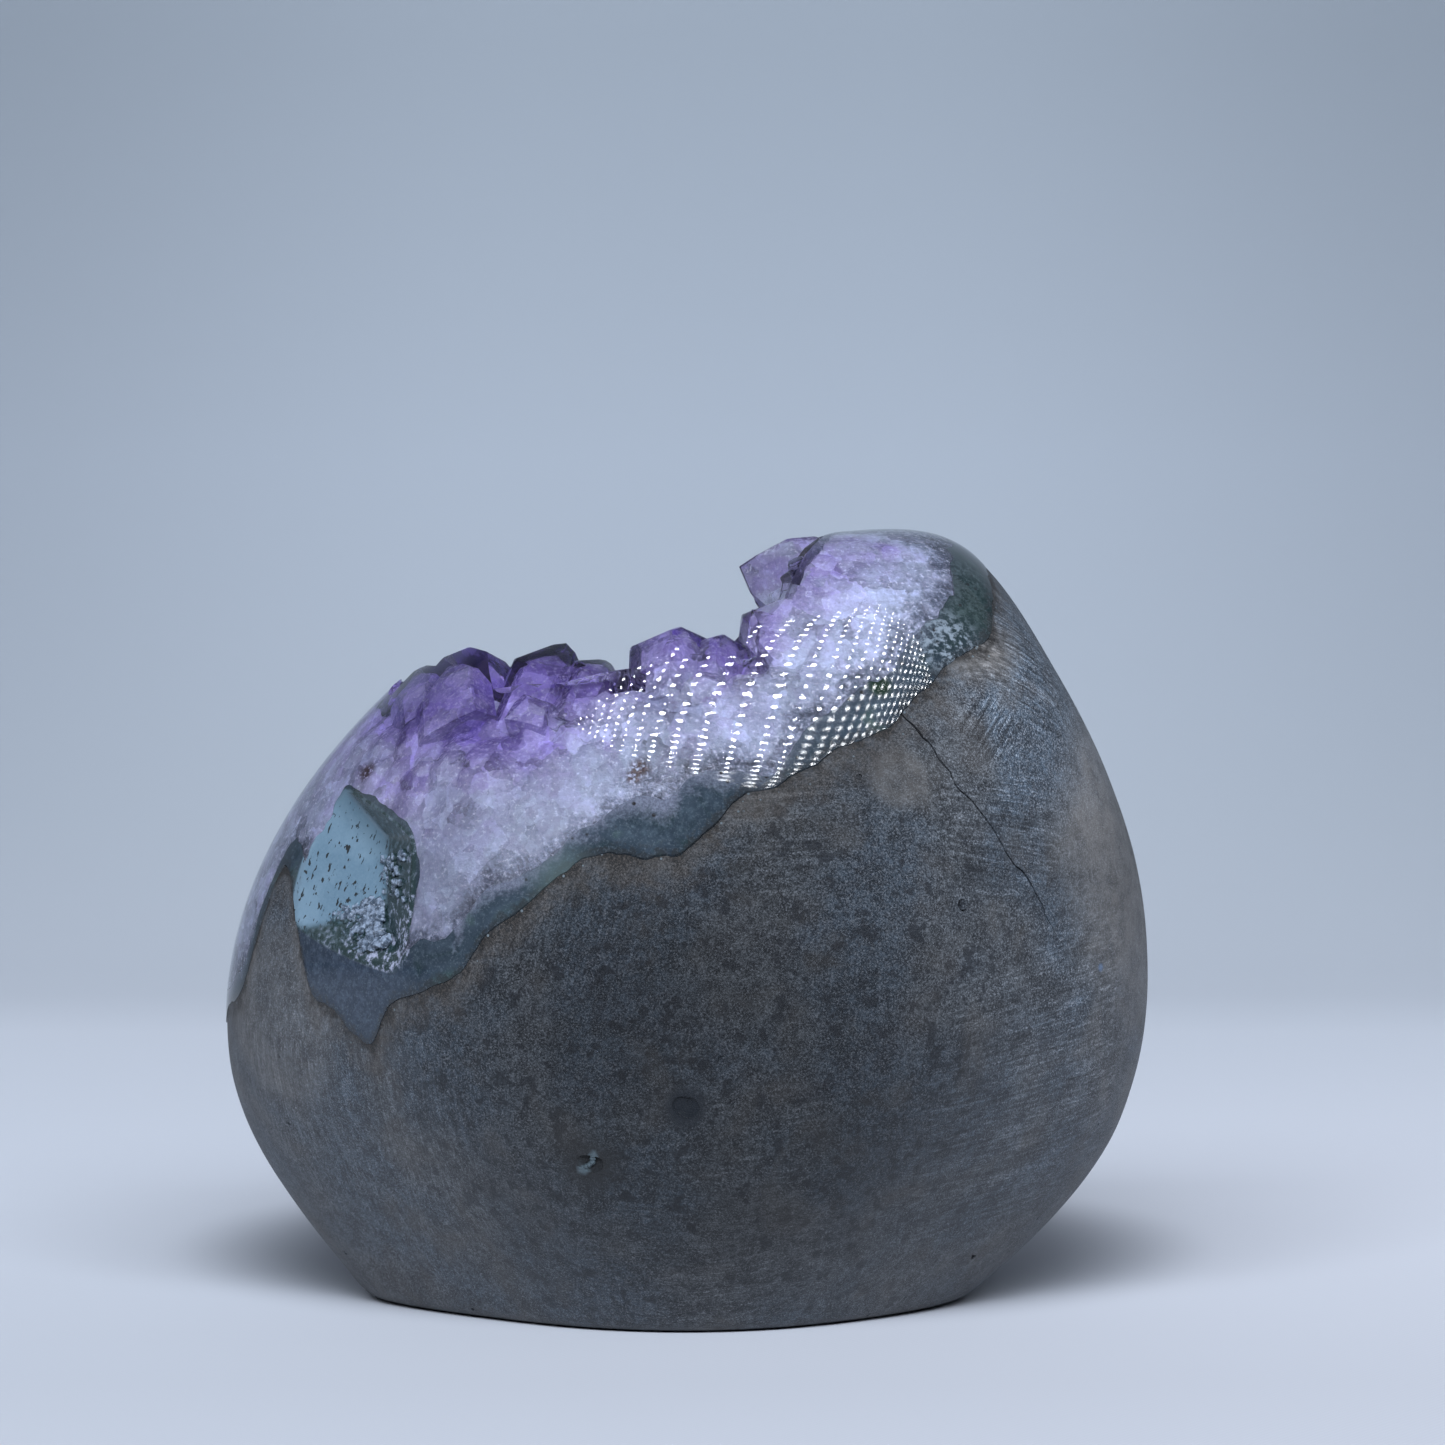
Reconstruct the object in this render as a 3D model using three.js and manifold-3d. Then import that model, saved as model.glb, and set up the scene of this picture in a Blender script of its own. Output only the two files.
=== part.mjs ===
// Amethyst druzy freeform, in millimetres with +Z up and +X to the viewer's right.
//
// A hand-sized lump cut from an amethyst geode. Its outside is ground into broad soft facets
// and cut flat underneath. The lower shell is the dark basalt that the geode grew in. The
// upper part is the geode's crust, a band of chalcedony and milky quartz that turns to
// amethyst, and an open pocket in the top of the crust is lined with amethyst points.
// Crust and points grew together, so they are one solid, seated in the basalt bowl.

import * as THREE from 'three';
import { ConvexGeometry } from 'three/addons/geometries/ConvexGeometry.js';
import { mergeVertices } from 'three/addons/utils/BufferGeometryUtils.js';
import Module from 'manifold-3d';

const wasm = await Module();
wasm.setup();

// ---- Driving dimensions ----

const BODY_CENTRE = new THREE.Vector3(0, 0, 36);
const BODY_DETAIL = 8; // subdivisions of the sphere that the body is shaped from
const FACET_BLEND = 14; // higher makes the ridges between the ground facets crisper
const NARROWEST = 15; // the body's radius about its upright axis lies between these
const WIDEST = 60;
const GROUND_BOX = 200; // size of the box that keeps what lies above the ground

// The ground facets: azimuth and elevation of the normal in degrees (azimuth 0 is +X and
// 90 is the back), and the facet's distance from the body centre.
const GROUND_FACETS = [
  // right side, from the foot up to the peak
  [0, -58, 47], [0, -32, 49.5], [0, 0, 47], [0, 30, 46], [0, 46, 59], [0, 66, 61],
  // left side, from the foot up to the top
  [180, -34, 49.5], [180, 0, 47.5], [180, 28, 42.5], [180, 50, 39.5], [180, 82, 39],
  // front
  [270, -38, 43.5], [270, 0, 38], [275, 32, 37.5], [280, 60, 48],
  // back
  [90, -38, 38], [90, 0, 38], [90, 35, 39], [90, 62, 44],
  // the four corners
  [315, -35, 41], [315, 5, 42], [320, 40, 52.5],
  [225, -35, 41], [225, 5, 41.5], [225, 40, 43],
  [45, -35, 44.5], [45, 5, 42.5], [45, 40, 50.5],
  [135, -35, 45], [135, 5, 42], [135, 40, 42],
];

// Where the basalt ends on the outside: azimuth about the body's upright axis, and height.
// It runs once round the stone, from low on the left to the peak on the right.
const BASALT_EDGE = [
  [0, 75], [12, 75], [25, 73], [40, 68], [55, 62], [63, 60], [70, 56], [85, 52], [92, 52.5],
  [100, 49], [112, 45], [118, 46], [125, 42], [135, 38], [142, 39], [150, 35], [160, 33],
  [172, 30], [184, 28],
  // the basalt tongue at the left
  [196, 32], [199, 36], [200.5, 43], [202, 45], [206, 43], [209, 38], [212, 31.5], [215, 31.5],
  // the chalcedony point beside it
  [219, 29.5], [223, 27.5], [225, 30], [228, 32.5], [238, 34.5],
  // the front, rising to the right
  [240.5, 36.5], [242, 38.5], [245, 40], [250, 43], [255, 46], [259, 47], [269, 46.5],
  [275, 49.5], [279, 52], [285, 52.5], [295, 56], [305, 58.5], [313, 62], [318, 64.5],
  [326, 66.5], [330, 69], [336, 71.5], [350, 74.5],
];
const CRUST_FLOOR = 24; // height of the crust's underside in the middle of the basalt bowl
const CRUST_CURVE = 2; // power of the basalt bowl's profile
const CRUST_CLEARANCE = 0.32; // space left between crust and basalt so that the solids stay apart
const FLARE = 1.25; // a bowl's wall is carried on past the rim this far
const LID = 130; // and then straight up to this height

// The rim of the open pocket: azimuth about the pocket's axis, radius and height.
const POCKET_AXIS = new THREE.Vector2(-8, 1);
const POCKET_RIM = [
  [0, 23, 76.5], [18, 24, 75], [35, 24, 69], [50, 24, 64], [65, 26, 60.5], [80, 27, 58.5],
  [100, 27, 57], [125, 26, 56.5], [150, 23, 58], [180, 20, 61.5], [200, 22, 61.5],
  [216, 25, 59.5], [230, 26, 59.5], [240, 27, 59], [250, 28.5, 59.5], [258, 29, 61.5],
  [268, 28.5, 63], [285, 27.5, 63.5], [298, 30, 64], [303, 30, 66], [308, 28, 69.5],
  [318, 25.5, 73], [335, 23.5, 75.5],
];
const POCKET_FLOOR = 42;
const POCKET_CURVE = 3; // steeper walls than the basalt bowl

// Quartz's termination faces slope at this angle from the crystal's long axis.
const TERMINATION_SLOPE = THREE.MathUtils.degToRad(38.2);
const PRISM_SPREAD = 0.14; // a prism face is set in by up to this share of the radius
const SMALL_FACE_SPREAD = 0.22; // and a small sloping face is set back by up to this share
const CRYSTAL_COUNT = 50;
const CRYSTAL_RADIUS = [3.4, 5.6];
const CRYSTAL_STANDS = [3.5, 7.5]; // how far a point stands out of the pocket's wall
const CRYSTAL_ROOT = 3; // how deep a crystal is rooted in the crust
const CRYSTAL_FOCUS = new THREE.Vector3(-6, 1, 74); // the points lean towards this place
const CRYSTAL_LEAN = 0.5;
const BELOW_RIM = 0.8; // lining points end this far below the rim beside them
const LEAST_STAND = 0.6;
const LEAST_RISE = 0.2;
const SEED = 20;

// Larger points that make the rim's skyline: tip, root, radius and turn about their own axis.
const RIM_CRYSTALS = [
  // along the front, from left to right
  { tip: [-26, -12, 63.6], root: [-24, -19, 57], radius: 4.6, spin: 10 },
  { tip: [-22.4, -15.5, 65], root: [-21.4, -25, 57.6], radius: 6, spin: 10 },
  { tip: [-11.4, -20.5, 66.1], root: [-15.5, -25.5, 56.1], radius: 4.4, spin: 10 },
  { tip: [-7.6, -20.5, 64.4], root: [-11, -27, 57.5], radius: 3.6, spin: 30 },
  { tip: [-1.2, -16.5, 67], root: [-1.4, -26, 59.3], radius: 4.4, spin: 0 },
  { tip: [2.6, -15.5, 66.4], root: [2.8, -26, 58.2], radius: 4.6, spin: 10 },
  { tip: [5.6, -16.5, 65.4], root: [7, -25, 57.8], radius: 4, spin: 5 },
  // up the right wall to the peak
  { tip: [6.9, -18.5, 69.4], root: [13.5, -24, 63], radius: 4.6, spin: 30 },
  { tip: [9.4, -17, 71.2], root: [16, -21, 62.8], radius: 4.6, spin: 10 },
  { tip: [5.2, 3, 73.6], root: [16, 5, 71], radius: 4.7, spin: 30 },
  { tip: [9.5, -6, 72], root: [18, -9, 64], radius: 4.5, spin: 0 },
  { tip: [10, 11, 70], root: [17, 13, 63], radius: 4, spin: 0 },
];

// The bite in the left shoulder, broken through the crust down to bare chalcedony. Each face
// is a normal, pointing out of the stone, and its distance from the origin.
const BITE_FACES = [
  [[-0.572, -0.806, 0.151], 43.56], // the smooth floor
  [[-0.809, -0.418, -0.413], 13.86], // the steep wall at its right
  [[-0.560, -0.700, 0.442], 52.46], // the foot, where the floor comes up to the surface
  [[-0.883, -0.457, 0.106], 41.65], // the broken side below the wall
];
const BITE_CENTRE = new THREE.Vector3(-32, -25, 46);
const BITE_REACH = 13;
const BITE_OPENING = 6; // how far the tool that cuts the bite stands out from its centre
const BITE_BLEND = 36;
const BITE_DETAIL = 4;

const TOLERANCE = 1e-6;
const MERGE_WITHIN = 1e-5; // vertices nearer to each other than this are one
const BASALT_COLOUR = 0x3c4048;
const DRUSE_COLOUR = 0x9a86c6;

// ---- Small tools ----

const radians = THREE.MathUtils.degToRad;

/** Seeded random numbers from 0 to 1, the same on every run. */
function randomNumbers(seed) {
  let state = seed;
  return () => {
    state = (state + 0x6d2b79f5) | 0;
    let mixed = Math.imul(state ^ (state >>> 15), 1 | state);
    mixed = (mixed + Math.imul(mixed ^ (mixed >>> 7), 61 | mixed)) ^ mixed;
    return ((mixed ^ (mixed >>> 14)) >>> 0) / 4294967296;
  };
}

/** The unit vector at an azimuth and elevation in degrees. */
function direction(azimuth, elevation) {
  const across = Math.cos(radians(elevation));
  const turn = radians(azimuth);
  const up = Math.sin(radians(elevation));
  return new THREE.Vector3(across * Math.cos(turn), across * Math.sin(turn), up);
}

/** Reads a closed ring of rows [azimuth, values...] at any azimuth, between its rows. */
function ringAt(rows, azimuth) {
  const after = rows.findIndex((row) => row[0] > azimuth);
  const next = after < 0 ? rows[0] : rows[after];
  const last = after < 0 ? rows[rows.length - 1] : rows[after - 1];
  const span = (next[0] - last[0] + 360) % 360;
  const share = (azimuth - last[0]) / span;
  return last.slice(1).map((value, i) => THREE.MathUtils.lerp(value, next[i + 1], share));
}

/** A closed geometry with its shared vertices merged, from positions alone. */
function closedGeometry(geometry) {
  geometry.deleteAttribute('normal');
  geometry.deleteAttribute('uv');
  return mergeVertices(geometry, MERGE_WITHIN);
}

function toManifold(geometry) {
  const closed = closedGeometry(geometry);
  return new wasm.Manifold(new wasm.Mesh({
    numProp: 3,
    vertProperties: Float32Array.from(closed.attributes.position.array),
    triVerts: Uint32Array.from(closed.index.array),
  }));
}

function toGeometry(solid) {
  const { vertProperties, triVerts } = solid.getMesh();
  const geometry = new THREE.BufferGeometry();
  geometry.setAttribute('position', new THREE.BufferAttribute(vertProperties, 3));
  geometry.setIndex(new THREE.BufferAttribute(triVerts, 1));
  geometry.computeVertexNormals();
  return geometry;
}

/** The largest single piece of a solid, without stray chips or sealed hollows. */
function mainPiece(solid) {
  return solid.decompose().reduce((best, piece) => (piece.volume() > best.volume() ? piece : best));
}

// ---- The ground body ----

const facets = GROUND_FACETS.map(([azimuth, elevation, distance]) => ({
  normal: direction(azimuth, elevation),
  distance,
}));

/** Below 1 inside a set of planes and above 1 outside it, with the ridges between them rounded. */
function planesMeasure(planes, blend, offset) {
  let sum = 0;
  for (const { normal, distance } of planes) {
    sum += Math.max(normal.dot(offset) / distance, 0) ** blend;
  }
  return sum ** (1 / blend);
}

/** Below 1 inside the ground body and above 1 outside it, for an offset from the body centre. */
function bodyMeasure(offset) {
  return planesMeasure(facets, FACET_BLEND, offset);
}

/** A sphere about a centre, pushed in or out until the measure of its offsets is 1. */
function shapedSphere(centre, detail, measure) {
  const geometry = closedGeometry(new THREE.IcosahedronGeometry(1, detail));
  const place = geometry.attributes.position;
  const point = new THREE.Vector3();
  for (let i = 0; i < place.count; i += 1) {
    point.fromBufferAttribute(place, i);
    point.divideScalar(measure(point)).add(centre);
    place.setXYZ(i, point.x, point.y, point.z);
  }
  return toManifold(geometry);
}

/** The body's radius about its upright axis, at an azimuth and height. */
function bodyRadiusAt(azimuth, height) {
  const outward = direction(azimuth, 0);
  let inside = NARROWEST;
  let outside = WIDEST;
  while (outside - inside > TOLERANCE) {
    const radius = (inside + outside) / 2;
    const offset = outward.clone().multiplyScalar(radius);
    offset.z = height - BODY_CENTRE.z;
    if (bodyMeasure(offset) < 1) inside = radius;
    else outside = radius;
  }
  return inside;
}

/** The whole stone before its pocket opens: its ground facets, flat base and bite. */
function groundBody() {
  const aboveGround = new THREE.BoxGeometry(GROUND_BOX, GROUND_BOX, GROUND_BOX);
  aboveGround.translate(0, 0, GROUND_BOX / 2);
  return shapedSphere(BODY_CENTRE, BODY_DETAIL, bodyMeasure)
    .intersect(toManifold(aboveGround))
    .subtract(bite());
}

/** The tool that takes the bite out of the left shoulder. */
function bite() {
  const planes = BITE_FACES.map(([normal, distance]) => {
    const outward = new THREE.Vector3(...normal);
    return { normal: outward.clone().negate(), distance: outward.dot(BITE_CENTRE) - distance };
  });
  planes.push({ normal: new THREE.Vector3(...BITE_FACES[0][0]), distance: BITE_OPENING });
  return shapedSphere(BITE_CENTRE, BITE_DETAIL, (offset) => (
    Math.max(planesMeasure(planes, BITE_BLEND, offset), offset.length() / BITE_REACH)
  ));
}

// ---- Bowls: the basalt's hollow and the crystal pocket ----

/** A point on a bowl's wall: share 0 is the middle of the floor and 1 is the rim. */
function bowlPoint(bowl, azimuth, share) {
  const [radius, height] = bowl.rimAt(azimuth);
  const turn = radians(azimuth);
  return new THREE.Vector3(
    bowl.axis.x + radius * share * Math.cos(turn),
    bowl.axis.y + radius * share * Math.sin(turn),
    bowl.floor + (height - bowl.floor) * share ** bowl.curve,
  );
}

/** The closed solid that fills a bowl, carried on past its rim and up over the stone. */
function bowlGeometry(bowl, { turns, rings }) {
  const points = [bowlPoint(bowl, 0, 0)];
  for (let ring = 1; ring <= rings + 1; ring += 1) {
    for (let step = 0; step < turns; step += 1) {
      const azimuth = (step / turns) * 360;
      const share = (Math.min(ring, rings) / rings) * FLARE;
      const point = bowlPoint(bowl, azimuth, share);
      if (ring > rings) point.z = LID;
      points.push(point);
    }
  }
  points.push(new THREE.Vector3(bowl.axis.x, bowl.axis.y, LID));

  const triangles = [];
  const at = (ring, step) => 1 + (ring - 1) * turns + (step % turns);
  for (let step = 0; step < turns; step += 1) {
    triangles.push(0, at(1, step + 1), at(1, step));
    triangles.push(points.length - 1, at(rings + 1, step), at(rings + 1, step + 1));
    for (let ring = 1; ring <= rings; ring += 1) {
      triangles.push(at(ring, step), at(ring, step + 1), at(ring + 1, step + 1));
      triangles.push(at(ring, step), at(ring + 1, step + 1), at(ring + 1, step));
    }
  }
  const geometry = new THREE.BufferGeometry().setFromPoints(points);
  geometry.setIndex(triangles);
  return geometry;
}

const basaltBowl = {
  axis: new THREE.Vector2(0, 0),
  floor: CRUST_FLOOR,
  curve: CRUST_CURVE,
  rimAt: (azimuth) => {
    const [height] = ringAt(BASALT_EDGE, azimuth);
    return [bodyRadiusAt(azimuth, height), height];
  },
};

const pocket = {
  axis: POCKET_AXIS,
  floor: POCKET_FLOOR,
  curve: POCKET_CURVE,
  rimAt: (azimuth) => ringAt(POCKET_RIM, azimuth),
};

// ---- Quartz points ----

/** The convex solid inside a set of planes, each { normal, distance } from the origin. */
function insidePlanes(planes) {
  const corners = [];
  const solver = new THREE.Matrix3();
  for (let a = 0; a < planes.length; a += 1) {
    for (let b = a + 1; b < planes.length; b += 1) {
      for (let c = b + 1; c < planes.length; c += 1) {
        const [p, q, r] = [planes[a], planes[b], planes[c]];
        solver.set(...p.normal.toArray(), ...q.normal.toArray(), ...r.normal.toArray());
        if (Math.abs(solver.determinant()) < TOLERANCE) continue;
        const corner = new THREE.Vector3(p.distance, q.distance, r.distance);
        corner.applyMatrix3(solver.invert());
        const within = ({ normal, distance }) => normal.dot(corner) < distance + TOLERANCE;
        if (planes.every(within)) corners.push(corner);
      }
    }
  }
  return new ConvexGeometry(corners);
}

/** A six-sided quartz point along +Z: prism, three large and three small sloping faces. */
function pointGeometry(radius, length, random) {
  const planes = [{ normal: new THREE.Vector3(0, 0, -1), distance: 0 }];
  const slope = Math.PI / 2 - TERMINATION_SLOPE;
  for (let side = 0; side < 6; side += 1) {
    const turn = radians(60 * side);
    const sideways = new THREE.Vector3(Math.cos(turn), Math.sin(turn), 0);
    planes.push({ normal: sideways, distance: radius * (1 - PRISM_SPREAD + PRISM_SPREAD * random()) });
    const sloping = sideways.clone().multiplyScalar(Math.sin(slope)).setZ(Math.cos(slope));
    const setBack = side % 2 ? SMALL_FACE_SPREAD * random() : 0;
    planes.push({ normal: sloping, distance: sloping.z * length + radius * setBack });
  }
  return insidePlanes(planes);
}

/** A quartz point from its root to its tip, turned at random unless its spin is given. */
function crystal(root, tip, radius, random, spin) {
  const along = tip.clone().sub(root);
  const geometry = pointGeometry(radius, along.length(), random);
  geometry.rotateZ(spin ?? random() * Math.PI);
  const turn = new THREE.Quaternion().setFromUnitVectors(new THREE.Vector3(0, 0, 1), along.normalize());
  geometry.applyQuaternion(turn);
  geometry.translate(root.x, root.y, root.z);
  return toManifold(geometry);
}

/** The points that line the pocket, spread evenly over its wall. */
function liningCrystals() {
  const random = randomNumbers(SEED);
  const goldenTurn = 360 * (1 - 2 / (1 + Math.sqrt(5)));
  const crystals = [];
  for (let i = 0; i < CRYSTAL_COUNT; i += 1) {
    const share = Math.min(((i + 0.5) / CRYSTAL_COUNT) ** 0.42, 0.96);
    const azimuth = (i * goldenTurn) % 360;
    const foot = bowlPoint(pocket, azimuth, share);
    const aim = CRYSTAL_FOCUS.clone().sub(foot).normalize();
    aim.x += CRYSTAL_LEAN * (random() - 0.5);
    aim.y += CRYSTAL_LEAN * (random() - 0.5);
    aim.normalize();
    const radius = THREE.MathUtils.lerp(...CRYSTAL_RADIUS, random());
    const [, rimHeight] = ringAt(POCKET_RIM, azimuth);
    const room = (rimHeight - BELOW_RIM - foot.z) / Math.max(aim.z, LEAST_RISE);
    const stands = Math.min(
      THREE.MathUtils.lerp(...CRYSTAL_STANDS, random()),
      Math.max(room, LEAST_STAND),
    );
    const root = foot.clone().addScaledVector(aim, -CRYSTAL_ROOT);
    const tip = foot.addScaledVector(aim, stands);
    crystals.push(crystal(root, tip, radius, random));
  }
  return crystals;
}

function rimCrystals() {
  const random = randomNumbers(SEED + 1);
  return RIM_CRYSTALS.map(({ tip, root, radius, spin }) => (
    crystal(new THREE.Vector3(...root), new THREE.Vector3(...tip), radius, random, radians(spin))
  ));
}

// ---- The two pieces ----

/** The basalt is the ground body with a bowl taken out for the crust. */
function basaltMatrix(body) {
  const hollow = bowlGeometry(basaltBowl, { turns: 108, rings: 4 });
  return mainPiece(body.subtract(toManifold(hollow)));
}

/** The crust fills the bowl, has the open pocket in its top and carries every point. */
function amethystDruse(body) {
  const raised = { ...basaltBowl, floor: CRUST_FLOOR + CRUST_CLEARANCE };
  raised.rimAt = (azimuth) => {
    const [radius, height] = basaltBowl.rimAt(azimuth);
    return [radius - CRUST_CLEARANCE, height + CRUST_CLEARANCE];
  };
  const crust = body
    .intersect(toManifold(bowlGeometry(raised, { turns: 108, rings: 4 })))
    .subtract(toManifold(bowlGeometry(pocket, { turns: 36, rings: 6 })));
  let points = null;
  for (const point of [...liningCrystals(), ...rimCrystals()]) {
    points = points ? points.add(point) : point;
  }
  return mainPiece(crust.add(points.intersect(body)));
}

function piece(name, solid, colour, roughness) {
  const material = new THREE.MeshStandardMaterial({ color: colour, roughness, metalness: 0 });
  const mesh = new THREE.Mesh(toGeometry(solid), material);
  mesh.name = name;
  return mesh;
}

const body = groundBody();
const group = new THREE.Group();
group.add(piece('basalt_matrix', basaltMatrix(body), BASALT_COLOUR, 0.6));
group.add(piece('amethyst_druse', amethystDruse(body), DRUSE_COLOUR, 0.15));

export default group;
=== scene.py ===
"""Looks of the amethyst druzy freeform: a ground geode piece of basalt, chalcedony and quartz.

Shapes are worked out in millimetres with +Z up and +X to the viewer's right, as in the CAD
part, and become metres when a mesh is made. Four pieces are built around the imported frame:
the basalt, the chalcedony rind, the clear amethyst crust with its points, and the milky
quartz that is sealed inside the crust.
"""

import itertools
import math

import bmesh
import bpy
import numpy as np
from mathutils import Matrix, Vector, kdtree


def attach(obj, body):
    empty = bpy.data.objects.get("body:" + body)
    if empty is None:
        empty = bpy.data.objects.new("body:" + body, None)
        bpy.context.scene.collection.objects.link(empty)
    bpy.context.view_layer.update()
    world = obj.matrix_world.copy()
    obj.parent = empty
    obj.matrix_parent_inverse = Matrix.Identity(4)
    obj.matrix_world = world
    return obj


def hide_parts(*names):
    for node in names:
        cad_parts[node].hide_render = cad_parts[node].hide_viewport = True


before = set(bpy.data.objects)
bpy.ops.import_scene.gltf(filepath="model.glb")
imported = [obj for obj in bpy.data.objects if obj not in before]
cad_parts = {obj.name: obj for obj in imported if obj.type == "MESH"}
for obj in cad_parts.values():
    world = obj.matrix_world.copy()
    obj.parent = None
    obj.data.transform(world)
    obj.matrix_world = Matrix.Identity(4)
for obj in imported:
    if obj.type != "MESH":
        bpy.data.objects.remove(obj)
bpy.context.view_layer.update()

MM = 0.001  # one millimetre in scene units

# ---- Driving dimensions, the same as the CAD part's ----

BODY_CENTRE = np.array([0.0, 0.0, 36.0])
FACET_BLEND = 14  # higher makes the ridges between the ground facets crisper

# Ground facets: azimuth and elevation of the normal, and distance from the body centre.
GROUND_FACETS = np.array([
    # right side, from the foot up to the peak
    [0, -58, 47], [0, -32, 49.5], [0, 0, 47], [0, 30, 46], [0, 46, 59], [0, 66, 61],
    # left side, from the foot up to the top
    [180, -34, 49.5], [180, 0, 47.5], [180, 28, 42.5], [180, 50, 39.5], [180, 82, 39],
    # front
    [270, -38, 43.5], [270, 0, 38], [275, 32, 37.5], [280, 60, 48],
    # back
    [90, -38, 38], [90, 0, 38], [90, 35, 39], [90, 62, 44],
    # the four corners
    [315, -35, 41], [315, 5, 42], [320, 40, 52.5],
    [225, -35, 41], [225, 5, 41.5], [225, 40, 43],
    [45, -35, 44.5], [45, 5, 42.5], [45, 40, 50.5],
    [135, -35, 45], [135, 5, 42], [135, 40, 42],
])

# Where the basalt ends on the outside: azimuth about the body's upright axis, and height.
BASALT_EDGE = np.array([
    [0, 75], [12, 75], [25, 73], [40, 68], [55, 62], [63, 60], [70, 56], [85, 52], [92, 52.5],
    [100, 49], [112, 45], [118, 46], [125, 42], [135, 38], [142, 39], [150, 35], [160, 33],
    [172, 30], [184, 28],
    # the basalt tongue at the left
    [196, 32], [199, 36], [200.5, 43], [202, 45], [206, 43], [209, 38], [212, 31.5], [215, 31.5],
    # the chalcedony point beside it
    [219, 29.5], [223, 27.5], [225, 30], [228, 32.5], [238, 34.5],
    # the front, rising to the right
    [240.5, 36.5], [242, 38.5], [245, 40], [250, 43], [255, 46], [259, 47], [269, 46.5],
    [275, 49.5], [279, 52], [285, 52.5], [295, 56], [305, 58.5], [313, 62], [318, 64.5],
    [326, 66.5], [330, 69], [336, 71.5], [350, 74.5],
])
CRUST_FLOOR = 24.0  # height of the crust's underside in the middle of the basalt bowl
CRUST_CURVE = 2

# The rim of the open pocket: azimuth about the pocket's axis, radius and height.
POCKET_AXIS = np.array([-8.0, 1.0])
POCKET_RIM = np.array([
    [0, 23, 76.5], [18, 24, 75], [35, 24, 69], [50, 24, 64], [65, 26, 60.5], [80, 27, 58.5],
    [100, 27, 57], [125, 26, 56.5], [150, 23, 58], [180, 20, 61.5], [200, 22, 61.5],
    [216, 25, 59.5], [230, 26, 59.5], [240, 27, 59], [250, 28.5, 59.5], [258, 29, 61.5],
    [268, 28.5, 63], [285, 27.5, 63.5], [298, 30, 64], [303, 30, 66], [308, 28, 69.5],
    [318, 25.5, 73], [335, 23.5, 75.5],
])
POCKET_FLOOR = 42.0
POCKET_CURVE = 3

TERMINATION_SLOPE = 38.2  # quartz's termination faces, in degrees from the crystal's axis
CRYSTAL_COUNT = 50
CRYSTAL_RADIUS = (3.4, 5.6)
CRYSTAL_STANDS = (3.5, 7.5)  # how far a point stands out of the pocket's wall
CRYSTAL_ROOT = 3.0
CRYSTAL_FOCUS = np.array([-6.0, 1.0, 74.0])  # the points lean towards this place
CRYSTAL_LEAN = 0.5
BELOW_RIM = 0.8  # the lining's points end this far below the rim beside them
LEAST_STAND = 0.6  # but none stands out less than this
LEAST_RISE = 0.2
PRISM_SPREAD = 0.14  # how unequal the sides of a point are
SMALL_FACE_SPREAD = 0.22  # how far back every second face of its end may be set
SEED = 20

# Larger points that make the rim's skyline: tip, root, radius and turn about their own axis.
RIM_CRYSTALS = [
    # along the front, from left to right
    ((-26, -12, 63.6), (-24, -19, 57), 4.6, 10),
    ((-22.4, -15.5, 65), (-21.4, -25, 57.6), 6, 10),
    ((-11.4, -20.5, 66.1), (-15.5, -25.5, 56.1), 4.4, 10),
    ((-7.6, -20.5, 64.4), (-11, -27, 57.5), 3.6, 30),
    ((-1.2, -16.5, 67), (-1.4, -26, 59.3), 4.4, 0),
    ((2.6, -15.5, 66.4), (2.8, -26, 58.2), 4.6, 10),
    ((5.6, -16.5, 65.4), (7, -25, 57.8), 4, 5),
    # up the right wall to the peak
    ((6.9, -18.5, 69.4), (13.5, -24, 63), 4.6, 30),
    ((9.4, -17, 71.2), (16, -21, 62.8), 4.6, 10),
    ((5.2, 3, 73.6), (16, 5, 71), 4.7, 30),
    ((9.5, -6, 72), (18, -9, 64), 4.5, 0),
    ((10, 11, 70), (17, 13, 63), 4, 0),
]

# The bite in the left shoulder. Each face is a normal, pointing out of the stone, and its
# distance from the origin.
BITE_FACES = np.array([
    [-0.572, -0.806, 0.151, 43.56],  # the smooth floor
    [-0.809, -0.418, -0.413, 13.86],  # the steep wall at its right
    [-0.560, -0.700, 0.442, 52.46],  # the foot, where the floor comes up to the surface
    [-0.883, -0.457, 0.106, 41.65],  # the broken side below the wall
])
BITE_CENTRE = np.array([-32.0, -25.0, 46.0])
BITE_REACH = 13.0
BITE_OPENING = 6.0  # how far the space of the bite reaches out past its middle

# ---- Dimensions of the looks alone ----

# How far the chalcedony reaches above the basalt's edge: azimuth and thickness.
RIND_THICKNESS = np.array([
    [0, 3], [60, 3.5], [100, 4], [150, 3], [184, 2.5], [196, 2], [203, 2.5], [208, 6],
    [216, 6.5], [222, 8], [226, 5], [229, 3.5], [238, 4.8], [245, 3], [252, 2.9], [255, 2.6],
    [259, 3.6], [263, 4.8], [271, 6], [275, 4.5], [280, 1.8], [290, 2.6], [300, 3.7],
    [310, 3.9], [318, 4], [326, 5.3], [335, 4.5], [350, 2.6],
])
RIND_FLOOR = 29.0

# How slowly the quartz turns from white to purple on its way to the pocket, and how purple it
# gets there, at azimuths about the pocket's axis.
WHITENESS = np.array([
    [0, 2.6, 0.5], [60, 1.6, 0.8], [180, 1.7, 0.9], [225, 2.1, 1], [262, 1.6, 1], [285, 2.0, 0.85],
    [305, 2.8, 0.65], [340, 2.8, 0.5],
])

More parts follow.
